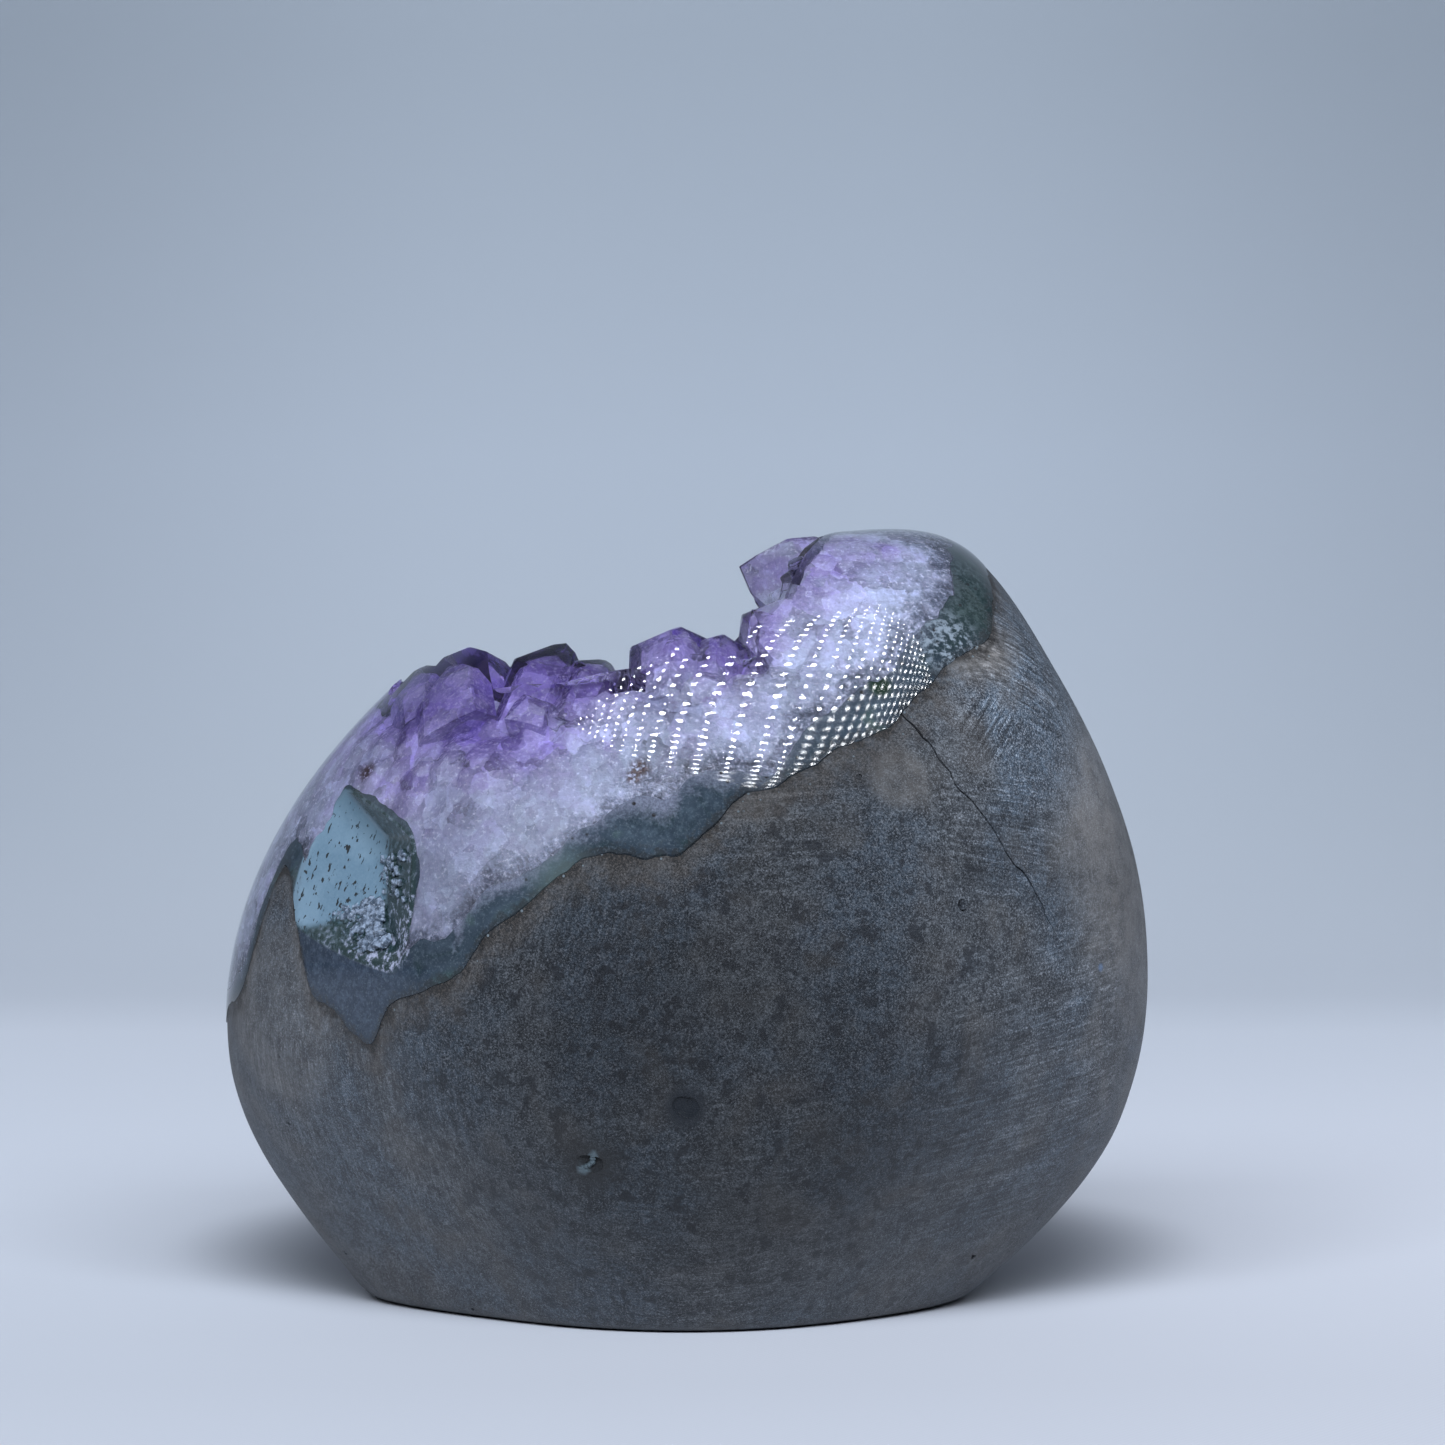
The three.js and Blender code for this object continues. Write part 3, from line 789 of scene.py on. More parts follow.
def crack_tools(draw):
    """Thin wedges along the crack, which wanders a little."""
    steps = np.linspace(0, len(CRACK) - 1, CRACK_STEPS)
    line = np.column_stack([np.interp(steps, np.arange(len(CRACK)), CRACK[:, k]) for k in range(3)])
    line = line + 0.3 * np.stack([layered_noise(line, 2.2, seed, 3) for seed in (71, 72, 73)], 1)
    line = np.array([on_surface(point) for point in line])
    normals = body_normal(line)
    narrowing = np.minimum(1, (CRACK_STEPS - np.arange(CRACK_STEPS)) / CRACK_END)
    widths = CRACK_WIDTH / 2 * (0.7 + 0.5 * draw.uniform(0, 1, len(line))) * narrowing
    made = []
    for i in range(len(line) - 1):
        along = line[i + 1] - line[i]
        corners = []
        for k in (i, i + 1):
            side = np.cross(normals[k], unit(along)) * widths[k]
            stretch = along * (0.04 if k > i else -0.04)
            for lift, share in ((0.3, 1.3), (-CRACK_DEPTH, 0.15)):
                place = line[k] + stretch + normals[k] * lift
                corners += [place + side * share, place - side * share]
        made.append(hull_object(np.array(corners), "wedge"))
    return made


def basalt_body(draw):
    """The dark ground basalt, with the hollow that holds the crust, its crack and its pits."""
    directions, triangles = sphere_grid(BASALT_GRID)
    surface = body_points(directions, SKIN)
    waves = BASALT_WAVE + BASALT_WAVE * layered_noise(surface, 11, 31, 2)
    above_base = smoothstep(0.5, 4, surface[:, 2])
    surface = body_points(directions, SKIN + waves * above_base)
    body = make_object("basalt_body", surface, triangles)
    boolean(body, "DIFFERENCE", [crust_bowl(basalt_edge_height, CRUST_FLOOR, 0), bite_space()])
    pits = []
    for _ in range(SMALL_PITS):
        spot = on_surface(BODY_CENTRE + draw.normal(size=3))
        size = draw.uniform(*SMALL_PIT_SIZE) * (1.7 if draw.uniform() > 0.92 else 1)
        pits.append(lump(spot + 0.1 * size, size * draw.uniform(0.7, 1.4, 3), draw, 14))
    for spot, size in (DARK_PIT, FILLED_PIT, RING_PIT):
        place = on_surface(spot)
        inward = -body_normal(place[None])[0] * PIT_SUNK
        pits.append(lump(place + inward, np.array([size, 0.5, size * 0.85]), draw, 60))
    boolean(body, "DIFFERENCE", pits)
    boolean(body, "DIFFERENCE", crack_tools(draw))
    fills = [lump(on_surface(RING_PIT[0]) * 0.995, RING_FILL_RADII, draw, 20)]
    for place in FILL_PLACES:
        fills.append(lump(place - body_normal(place[None])[0] * FILL_SUNK, FILL_RADII, draw, 30))
    return boolean(body, "UNION", fills)


def chalcedony_rind(draw):
    """The band of chalcedony between basalt and quartz, thick round the bite."""
    rind = body_object("chalcedony_rind", CRUST_GRID)
    boolean(rind, "INTERSECT", [crust_bowl(basalt_edge_height, CRUST_FLOOR, SEAM)])
    quartz_space = crust_bowl(rind_edge_height, RIND_FLOOR, 0)
    boolean(rind, "DIFFERENCE", [boolean(quartz_space, "DIFFERENCE", [bite_bed(0)])])
    boolean(rind, "DIFFERENCE", [bite_space()])
    return largest_part(boolean(rind, "UNION", sugar_crystals(draw)))


def amethyst_crust(draw, hearts):
    """The clear quartz and amethyst, with the points that line the pocket."""
    crust, body = body_object("amethyst_crust", CRUST_GRID), body_object("body", CRUST_GRID)
    boolean(crust, "INTERSECT", [crust_bowl(rind_edge_height, RIND_FLOOR, SEAM)])
    boolean(crust, "DIFFERENCE", [pocket_bowl(0, 240, 40)])
    crystals = lining_crystals(draw, hearts) + rim_crystals(draw, hearts)
    crystals += edge_crystals(draw, hearts) + small_crystals(draw)
    boolean(crust, "UNION", crystals)
    boolean(crust, "INTERSECT", [body])
    boolean(crust, "DIFFERENCE", [bite_bed(SEAM), bite_space()])
    return largest_part(crust)


def core_inset(share):
    """How deep the milky quartz lies under the polished surface."""
    return np.interp(share, [0, 0.2, 0.4, 0.6, 0.8, 1], [0.15, 0.35, 0.7, 1.2, 2.2, 4.0])


def cell_size(share):
    """How wide the low points of the milky quartz's top are."""
    return np.interp(share, [0, 0.2, 0.5, 0.8, 1], [0.9, 1.3, 2.4, 3.6, 5.0])


def tree_of(points):
    """Finds the nearest of many points fast."""
    tree = kdtree.KDTree(len(points))
    for i, point in enumerate(points):
        tree.insert(point, i)
    tree.balance()
    return tree


def scattered_seeds(points, spacing, draw):
    """Picks points at random, none nearer to another than its own spacing."""
    free = np.ones(len(points), bool)
    chosen = []
    for candidate in draw.permutation(len(points)):
        if not free[candidate]:
            continue
        chosen.append(candidate)
        reach = spacing[candidate]
        near = np.abs(points[:, 2] - points[candidate, 2]) < reach
        near[near] = ((points[near] - points[candidate]) ** 2).sum(1) < reach**2
        free[near] = False
    return np.array(chosen)


def pointed_cells(points, normals, size, draw):
    """Heights of a druse of low pyramids over points, and the pyramid that each point lies on."""
    seeds = scattered_seeds(points, size, draw)
    tree = tree_of(points[seeds])
    nearest = np.array([[found[1] for found in tree.find_n(point, 5)] for point in points])
    draw.uniform(size=len(seeds))  # unused, but it keeps the draws that follow as they are
    lift = draw.uniform(-0.25, 0.25, len(seeds)) * size[seeds]
    across = unit(np.cross(normals[seeds], draw.normal(size=(len(seeds), 3))))
    upright = np.cross(normals[seeds], across)
    best = np.full(len(points), -1e9)
    cell = np.zeros(len(points), int)
    for k in range(nearest.shape[1]):
        seed = nearest[:, k]
        offset = points - points[seeds[seed]]
        u = (offset * across[seed]).sum(1)
        v = (offset * upright[seed]).sum(1)
        far = np.max([np.abs(u * math.cos(a) + v * math.sin(a)) for a in np.radians([0, 60, 120])], axis=0)
        height = lift[seed] - PYRAMID_SLOPE * far
        cell = np.where(height > best, seed, cell)
        best = np.maximum(best, height)
    return best, cell


def quartz_core(draw, hearts):
    """The milky quartz sealed under the clear surface, its top broken into low points."""
    directions, triangles = sphere_grid(CORE_GRID)
    surface = body_points(directions, SKIN)
    share = growth_share(surface)
    inset = core_inset(share)
    active = np.flatnonzero(surface[:, 2] > rind_edge_height(azimuth_of(surface)) - CORE_MARGIN)
    stretched = surface[active] * [1, 1, PYRAMID_STRETCH]
    size = cell_size(share[active])
    height, cell = pointed_cells(stretched, body_normal(surface[active]), size, draw)
    relief = np.zeros(len(surface))
    relief[active] = np.clip(height + 0.35 * size, -0.6 * size, 0.3 * size) * 0.8
    depth = np.maximum(inset - relief * np.minimum(inset, 1.5), LEAST_SKIN)
    core = make_object("quartz_core", surface - directions * depth[:, None], triangles)
    tree = tree_of(points_of(core)[active])

    def rough(row):
        return 0.5 * np.stack([layered_noise(row, 2.6, seed, 2) for seed in (61, 62, 63)], 1)

    boolean(core, "INTERSECT", [crust_bowl(rind_edge_height, RIND_FLOOR, 2 * SEAM)])
    boolean(core, "DIFFERENCE", [pocket_bowl(CORE_POCKET, 300, 60, rough), bite_bed(2 * SEAM)])
    boolean(core, "UNION", [item for item in hearts if item])
    boolean(core, "INTERSECT", [body_object("body", CORE_GRID, SKIN + CORE_CLEARANCE)])
    largest_part(core)
    points = points_of(core)
    tint = draw.uniform(0, 1, cell.max() + 1)
    near = np.array([tree.find(point)[1] for point in points])
    set_attribute(core, "share", growth_share(points))
    set_attribute(core, "above_rind", points[:, 2] - rind_edge_height(azimuth_of(points)))
    set_attribute(core, "cell", tint[cell[near]])
    return core


def depth_in_body(points):
    """How deep points lie under the ideal ground body."""
    offsets = points - BODY_CENTRE
    return np.linalg.norm(offsets, axis=1) * (1 / stone_measure(offsets) - 1)


def shade_polished(obj, sharp=SHARP_CRYSTAL):
    """Exact normals where a piece's surface is the ground body, plain ones elsewhere."""
    mesh = obj.data
    mesh.polygons.foreach_set("use_smooth", np.ones(len(mesh.polygons), bool))
    mesh.set_sharp_from_angle(angle=math.radians(sharp))
    points = points_of(obj)
    corner_vertex = read(mesh.loops, "vertex_index", 1, np.int32)
    plain = read(mesh.corner_normals, "vector")
    totals = read(mesh.polygons, "loop_total", 1, np.int32)
    face_normal = np.repeat(read(mesh.polygons, "normal"), totals, axis=0)
    on_body = np.abs(depth_in_body(points) - SKIN) < ON_BODY
    ideal = body_normal(points)[corner_vertex]
    polished = on_body[corner_vertex] & ((ideal * face_normal).sum(1) > 0.9)
    mesh.normals_split_custom_set(np.where(polished[:, None], ideal, plain))
    starts = np.cumsum(totals) - totals
    set_attribute(obj, "polished", np.minimum.reduceat(polished.astype(float), starts), "FACE")


# ---- Materials ----

def as_colour(value):
    """Red, green, blue and alpha from a colour or a grey tone."""
    return (*value, 1) if isinstance(value, tuple) else (value, value, value, 1)


class Output:
    """A node's output, which sums and products can be written with."""

    def __init__(self, shader, socket):
        self.shader, self.socket = shader, socket

    def __add__(self, other):
        return self.shader.math("ADD", self, other)

    def __sub__(self, other):
        return self.shader.math("SUBTRACT", self, other)

    def __rsub__(self, other):
        return self.shader.math("SUBTRACT", other, self)

    def __mul__(self, other):
        return self.shader.math("MULTIPLY", self, other)

    def beside(self, name):
        """Another output of the same node."""
        return Output(self.shader, self.socket.node.outputs[name])


class Shader:
    """Builds one material's nodes with short calls. Texture places are in millimetres."""

    def __init__(self, name):
        self.material = bpy.data.materials.new(name)
        self.material.use_nodes = True
        self.tree = self.material.node_tree
        self.tree.nodes.clear()
        metres = self.add("TexCoord", output="Object")
        self.place = self.add("VectorMath", {0: metres, "Scale": 1 / MM}, operation="SCALE")

    def add(self, kind, inputs=None, output=0, **settings):
        """Adds a node, whose inputs are linked to outputs or set to numbers and colours."""
        node = self.tree.nodes.new("ShaderNode" + kind)
        for key, value in settings.items():
            setattr(node, key, value)
        for key, value in (inputs or {}).items():
            socket = node.inputs[key]
            if isinstance(value, Output):
                self.tree.links.new(value.socket, socket)
            else:
                socket.default_value = as_colour(value) if socket.type == "RGBA" else value
        return Output(self, node.outputs[output]) if node.outputs else node

    def vector(self, operation, *terms, output=0):
        return self.add("VectorMath", dict(enumerate(terms)), output, operation=operation)

    def math(self, operation, *terms):
        return self.add("Math", dict(enumerate(terms)), operation=operation)

    def noise(self, scale, detail=2.0, place=None, roughness=0.5, distortion=0.0, output=0):
        inputs = {"Vector": place or self.place, "Scale": scale, "Detail": detail,
                  "Roughness": roughness, "Distortion": distortion}
        return self.add("TexNoise", inputs, output)

    def voronoi(self, scale, output="Distance", place=None):
        return self.add("TexVoronoi", {"Vector": place or self.place, "Scale": scale}, output)

    def grains(self, scale, place):
        """Grains with painted light and shade, each as if it leant its own way to the light: how light they
        are, and their tint.
        """
        tint = self.voronoi(scale, "Color", place)
        lean = self.vector("SUBTRACT", tint, (0.5, 0.5, 0.5))
        away = self.vector("SUBTRACT", place, tint.beside("Position"))
        light = self.vector("DOT_PRODUCT", lean, away, output="Value")
        return light * scale, self.add("SeparateColor", {0: tint})

    def attribute(self, name):
        return self.add("Attribute", output="Fac", attribute_name=name)

    def span(self, value, low, high, to_low=0.0, to_high=1.0):
        """Maps low to high onto another span, clamped and smooth."""
        inputs = {"Value": value, "From Min": low, "From Max": high, "To Min": to_low, "To Max": to_high}
        return self.add("MapRange", inputs, interpolation_type="SMOOTHSTEP")

    def mix(self, share, first, second, blend="MIX"):
        return self.add("Mix", {0: share, 6: first, 7: second}, 2, data_type="RGBA", blend_type=blend)

    def tint(self, colour, tone, share=1.0):
        """Multiplies a colour by a tone."""
        return self.mix(share, colour, tone, "MULTIPLY")

    def paint(self, colour, *coats):
        """Lays coats, each a share and a colour, one over another."""
        for share, coat in coats:
            colour = self.mix(share, colour, coat)
        return colour

    def ramp(self, value, stops):
        shades = self.add("ValToRGB", {0: value})
        elements = shades.socket.node.color_ramp.elements
        while len(elements) < len(stops):
            elements.new(0.5)
        for element, (position, colour) in zip(elements, stops):
            element.position, element.color = position, as_colour(colour)
        return shades

    def near(self, centre, radius, softness=0.5):
        """1 within a ball around a place in millimetres, fading out at its edge."""
        away = self.vector("DISTANCE", self.place, centre, output="Value")
        return self.span(away, radius * (1 + softness), radius * (1 - softness))

    def scratches(self, patches, across_patch, along_patch):
        """Fine lines in patches that each have a direction and a depth: the lines and their depth."""
        place, strength = self.place, 0.0
        for centre, reach, along, depth in patches:
            away = self.vector("DISTANCE", self.place, centre, output="Value")
            within = self.math("LESS_THAN", away, reach)
            outward = body_normal(np.array([centre], float))[0]
            along = Vector(along) - Vector(outward) * float(outward @ np.array(along, float))
            turn = Vector((1, 0, 0)).rotation_difference(along).to_euler()
            scale = (1 / along_patch, 1 / across_patch, 1 / across_patch)
            inputs = {"Vector": self.place, "Rotation": tuple(turn), "Scale": scale}
            place = self.mix(within, place, self.add("Mapping", inputs, vector_type="TEXTURE"))
            strength = self.mix(within, strength, self.span(away, reach, 0.45 * reach, 0, depth))
        return self.noise(1.0, 3, place), strength

    def bump(self, height, strength, distance):
        return self.add("Bump", {"Height": height, "Strength": strength, "Distance": distance * MM})

    def finish(self, inputs, volume=None):
        surface = self.add("BsdfPrincipled", inputs)
        output = self.add("OutputMaterial", {"Surface": surface})
        if volume is not None:
            self.tree.links.new(volume.socket, output.inputs["Volume"])
        return self.material


# Where the grinding wheel left scratches: a place on the surface, reach, direction and depth. A
# later patch lies over the earlier ones.
SCRATCH_PATCHES = [
    ((-32, -24, 22), 27, (0.15, -0.1, 1), 0.6),
    ((6, -37, 8), 27, (1, 0, 0.04), 0.5),
    ((36, -22, 22), 25, (1, 0.7, 0.12), 0.9),
    ((0, 38, 30), 32, (1, 0, 0.35), 0.8),
    ((46, 8, 35), 24, (0.1, 1, 0.4), 0.8),
    ((-12, -36, 40), 13, (0.25, 0.1, 1), 0.6),
    ((8, -34, 51), 12, (1, 0.05, 0.1), 0.6),
    ((30.3, -27.5, 49), 11, (1, 0.5, -0.1), 1.1),
    ((31.3, -17, 63.5), 10, (1, 0.4, -0.25), 1.5),
    ((28.7, -23.5, 57.4), 5, (0.6, 0.3, 0.8), 1.5),
]
SCRATCHES_ACROSS, SCRATCHES_ALONG = 3.0, 0.13  # lines in a millimetre, across and along a patch

BASALT_COOL = (0.037, 0.051, 0.067)
BASALT_WARM = (0.058, 0.064, 0.070)
TAN = (0.150, 0.136, 0.122)
# The basalt's brownish patches: place, radius and strength.
TAN_PATCHES = [
    ((20, -29, 52.6), 3.4, 0.42), ((25.3, -17, 62.9), 6, 0.85), ((46, -8, 45), 16, 0.4),
    ((-38, -16, 30), 9, 0.3),
]
# Painted shade across the basalt's front, and painted light and sheen towards its upper right and its sides:
# place, radius, softness, tone.
LIGHT_AND_SHADE_PATCHES = [
    ((4, -43, 22), 24, 0.6, 0.40), ((-14, -34, 40), 17, 0.6, 0.72), ((12, -32, 52), 10, 0.6, 0.76),
    ((36, -16, 62), 14, 0.5, 1.8), ((46, -14, 30), 18, 0.6, 1.3),
    ((-44, -22, 12), 18, 0.6, 1.25),
]
BLOTCHED = ((4, -38, 26), 38, 0.4)  # the front, with its dark blotches
BLUE_CHIP = ((40.4, -18.1, 34.6), 0.4)


def basalt_material():
    s = Shader("basalt")
    clouds = s.noise(0.08, 2)
    mottle = s.noise(0.45, 4, roughness=0.65)
    grain = s.noise(5.6, 2, roughness=0.9)
    coarse = s.noise(1.7, 2, roughness=0.7)
    blotches = s.span(s.noise(0.62, 3, roughness=0.6), 0.56, 0.64, 0, 0.75) * s.near(*BLOTCHED)
    specks = s.voronoi(0.9)
    brown = s.span(s.noise(0.16, 2, distortion=0.6), 0.52, 0.70, 0, 0.22)
    colour = s.mix(s.span(clouds, 0.40, 0.62), BASALT_COOL, BASALT_WARM)
    colour = s.tint(colour, s.mix(s.span(mottle, 0.36, 0.60), (0.42, 0.42, 0.43), 1.0))
    colour = s.tint(colour, s.mix(s.span(coarse, 0.40, 0.66), 0.66, (1.42, 1.38, 1.34)))
    colour = s.paint(
        colour,
        (s.span(grain, 0.46, 0.74, 0, 0.80), (0.205, 0.215, 0.230)),
        (s.span(grain, 0.54, 0.28, 0, 0.90), (0.006, 0.008, 0.011)),
        (blotches, (0.013, 0.015, 0.019)),
        (s.span(specks, 0.20, 0.08, 0, 0.7), (0.012, 0.014, 0.018)),
        (brown, (0.080, 0.070, 0.060)),
    )
    for centre, radius, share in TAN_PATCHES:
        patch = s.near(centre, radius, 0.25) * s.span(mottle, 0.3, 0.6, 0.45 * share, share)
        colour = s.mix(patch, colour, TAN)
    # painted light and shade on the basalt: darker in front, lighter at the upper right and the sides
    for centre, radius, softness, tone in LIGHT_AND_SHADE_PATCHES:
        colour = s.tint(colour, tone, s.near(centre, radius, softness))
    below = s.attribute("below") + s.span(mottle, 0.3, 0.7, -0.7, 0.9)
    seam = s.mix(s.span(grain, 0.45, 0.7), 0.010, (0.060, 0.050, 0.042))
    colour = s.paint(
        colour,
        (s.span(below, 5.0, 0.8) * s.span(grain, 0.3, 0.65, 0.1, 0.5), (0.078, 0.066, 0.055)),
        (s.span(below, 1.5, 0.1, 0, 0.85), seam),
        (s.span(below, 2.2, 1.2) * s.span(specks, 0.14, 0.09), (0.11, 0.13, 0.14)),
    )
    lines, strength = s.scratches(SCRATCH_PATCHES, SCRATCHES_ACROSS, SCRATCHES_ALONG)
    ridge, furrow = (s.span(lines, *edges) * strength for edges in ((0.50, 0.64), (0.48, 0.36)))
    colour = s.tint(s.tint(colour, 2.1, ridge * 0.5), 0.35, furrow * 0.5)
    colour = s.paint(
        colour,
        # painted shade in the pits and the crack, darker the deeper they lie
        (s.attribute("sunk") * 0.8, (0.010, 0.011, 0.014)),
        (s.near(DARK_PIT[0], 1.25 * DARK_PIT[1], 0.45), (0.008, 0.010, 0.013)),
        (s.near(FILLED_PIT[0], 2.6, 0.7) * 0.85, 0.012),
        (s.attribute("fill"), (0.062, 0.082, 0.092)),
        (s.near(*BLUE_CHIP), (0.10, 0.14, 0.21)),
    )
    return s.finish({
        "Base Color": colour,
        "Roughness": s.span(grain, 0.3, 0.7, 0.42, 0.60),
        "IOR": 1.5,
        "Normal": s.bump(grain - ridge * 0.4, 0.8, 0.16),
    })


# Parts of the rind with a look of their own: place, radius and softness.
SLATE = ((-33, -27, 36), 9, 0.5)
DARK_GREEN = ((27, -14, 71), 9, 0.5)
GREY_BAND = ((13, -28, 61), 12)
DRUSE = ((25, -22, 66.3), 3.0)
GREEN_STAIN = ((-11.6, -36.6, 44.4), 2.6, 0.8)
GREEN_CHIP = ((18.7, -26.3, 62.2), 1.2, 0.4)
BITE_STREAKS = [(tuple(BITE_CENTRE), 20, (0.35, -0.1, 0.93), 1)]
STREAKS_ACROSS_AND_ALONG = 2.7, 0.95
RIND_COLOURS = [
    (0.30, (0.012, 0.025, 0.026)), (0.46, (0.016, 0.026, 0.036)), (0.60, (0.026, 0.039, 0.053)),
    (0.74, (0.034, 0.056, 0.054)),
]


def band_colour(s, fine, grain, clouds):
    """The rind's outside: pale along its top, dark along its foot, and blue-green between."""
    def between(edges, dark, pale, noise=fine):
        return s.mix(s.span(noise, *edges), dark, pale)

    slate, dark_green = s.near(*SLATE) * 0.8, s.near(*DARK_GREEN) * 0.85
    from_top = s.attribute("from_top") + s.span(clouds, 0.3, 0.7, -0.9, 0.9)
    from_top = from_top + s.span(fine, 0.3, 0.7, 0.5, -0.5)
    from_foot = s.attribute("from_foot") + s.span(fine, 0.3, 0.7, 0.7, -0.7)
    pale = s.span(from_top, 2.2, -0.4, 0, 0.9) * (1.0 - dark_green) * (1.0 - s.near(*GREY_BAND) * 0.75)
    specks = s.span(s.voronoi(0.8), 0.22, 0.10) * s.span(from_top, 2.6, 1.2)
    return s.paint(
        s.ramp(clouds, RIND_COLOURS),
        (s.span(fine, 0.45, 0.75, 0, 0.4), (0.070, 0.100, 0.120)),
        (slate, between((0.4, 0.65), (0.016, 0.025, 0.042), (0.036, 0.050, 0.075))),
        (dark_green, between((0.4, 0.65), (0.010, 0.022, 0.020), (0.038, 0.058, 0.055))),
        (pale, between((0.35, 0.65), (0.085, 0.092, 0.125), (0.150, 0.158, 0.205), grain)),
        (specks, (0.016, 0.015, 0.016)),
        (s.span(from_foot, 1.1, 0.0, 0, 0.75), (0.014, 0.015, 0.016)),
        (s.span(grain, 0.5, 0.75, 0, 0.35), (0.12, 0.15, 0.17)),
        (s.near(*DRUSE) * s.span(fine, 0.46, 0.62), (0.19, 0.225, 0.255)),
        (s.near(*GREEN_STAIN) * 0.5, (0.075, 0.105, 0.100)),
        (s.near(*GREEN_CHIP), (0.010, 0.022, 0.014)),
    )


def rind_material():
    s = Shader("chalcedony")
    clouds = s.noise(0.2, 3, distortion=0.8)
    fine = s.noise(1.5, 4, roughness=0.65)
    grain = s.noise(4.0, 2, roughness=0.8)
    # the bite: how far each place lies out from its faces
    above = [
        s.vector("DOT_PRODUCT", s.place, tuple(face[:3]), output="Value") - float(face[3])
        for face in BITE_FACES
    ]
    around = s.math("MINIMUM", above[1], s.math("MINIMUM", above[2], above[3]))
    inside = s.math("MINIMUM", above[0], around)
    bite = s.span(inside, -0.26, -0.14) * s.near(tuple(BITE_CENTRE), BITE_REACH, 0.05)
    on_floor = s.span(above[0], 0.50, 0.16) * s.span(around, -0.2, 0.0)
    streaks = s.scratches(BITE_STREAKS, *STREAKS_ACROSS_AND_ALONG)[0]
    pits = streaks + (s.span(above[2], 6.0, 0.6, -0.115, 0.015) + s.span(fine, 0.35, 0.65, -0.08, 0.08))
    # the bite's floor: the chalcedony's own blue-grey with a painted sheen of the bright room on it
    floor = s.paint(
        s.mix(s.span(clouds, 0.35, 0.65), (0.100, 0.165, 0.215), (0.138, 0.210, 0.262)),
        (s.span(grain, 0.3, 0.7, 0, 0.3), (0.17, 0.24, 0.29)),
        (s.span(pits, 0.63, 0.66), (0.020, 0.024, 0.026)),
        # painted shade on the floor along the foot of the wall
        (s.span(above[1], 2.2, 0.0, 0, 0.55), (0.030, 0.055, 0.072)),
    )
    wall = s.mix(s.span(fine, 0.42, 0.66), (0.012, 0.026, 0.026), (0.060, 0.085, 0.100))
    broken = s.mix(s.span(fine, 0.40, 0.60), (0.045, 0.052, 0.072), (0.34, 0.35, 0.45))
    rise = above[0] + s.span(fine, 0.3, 0.7, -1.6, 1.6) + s.span(above[2], 3.0, 0.6, 0, 1.6)
    sugar = s.mix(s.span(fine, 0.40, 0.62), (0.045, 0.062, 0.085), (0.22, 0.265, 0.33))
    sugar = s.mix(s.span(grain, 0.63, 0.72), sugar, (0.52, 0.56, 0.63))
    colour = s.paint(
        band_colour(s, fine, grain, clouds),
        # the wall: its own dark green with painted shade, darkest low down by the floor, turning to broken
        # quartz higher up
        (bite, s.mix(s.span(rise, 3.0, 5.4), wall, broken)),
        (bite * on_floor, floor),
        (s.span(inside, 0.16, 0.26) * s.span(above[2], 5.5, 3.5), sugar),
    )
    return s.finish({
        "Base Color": colour,
        "Roughness": s.mix(bite, 0.03, 0.24),
        "IOR": 1.54,
        "Normal": s.bump(fine * (bite + 0.03), 0.25, 0.12),
    })


AMETHYST_DENSITY = 60.0
AMETHYST_COLOUR = (0.42, 0.14, 0.90)


def crust_material():
    s = Shader("amethyst")
    natural = 1.0 - s.attribute("polished")
    hills = s.noise(0.9, 2, roughness=0.6)
    frost = s.span(s.noise(0.25, 2), 0.50, 0.66, 0.06, 0.26)
    volume = s.add("VolumeAbsorption", {"Color": AMETHYST_COLOUR, "Density": AMETHYST_DENSITY})
    return s.finish({
        "Base Color": (0.97, 0.96, 1.0),
        "Roughness": s.mix(natural, 0.012, frost),
        "IOR": 1.544,
        "Transmission Weight": 1.0,
        "Normal": s.bump(hills * (natural + 0.02), 0.4, 0.15),
    }, volume)


# Brown specks of another mineral in the quartz: place and radius.
BROWN_SPECKS = [((-30.5, -21.8, 53.8), 1.1), ((-4.2, -32.4, 54.4), 1.0), ((-4.8, -32.6, 53.4), 0.7)]
# Where the quartz is milkier or clearer than elsewhere: place, radius, softness, tone.
QUARTZ_TONES = [((20, -18, 68), 9, 0.6, 1.25), ((-21, -33, 45), 9, 0.6, 0.78)]
# Milky quartz from the rind to the pocket.
CORE_COLOURS = [
    (0.0, (0.43, 0.475, 0.565)), (0.36, (0.39, 0.40, 0.525)), (0.54, (0.38, 0.355, 0.53)),
    (0.76, (0.32, 0.27, 0.51)), (1.0, (0.190, 0.140, 0.38)),
]


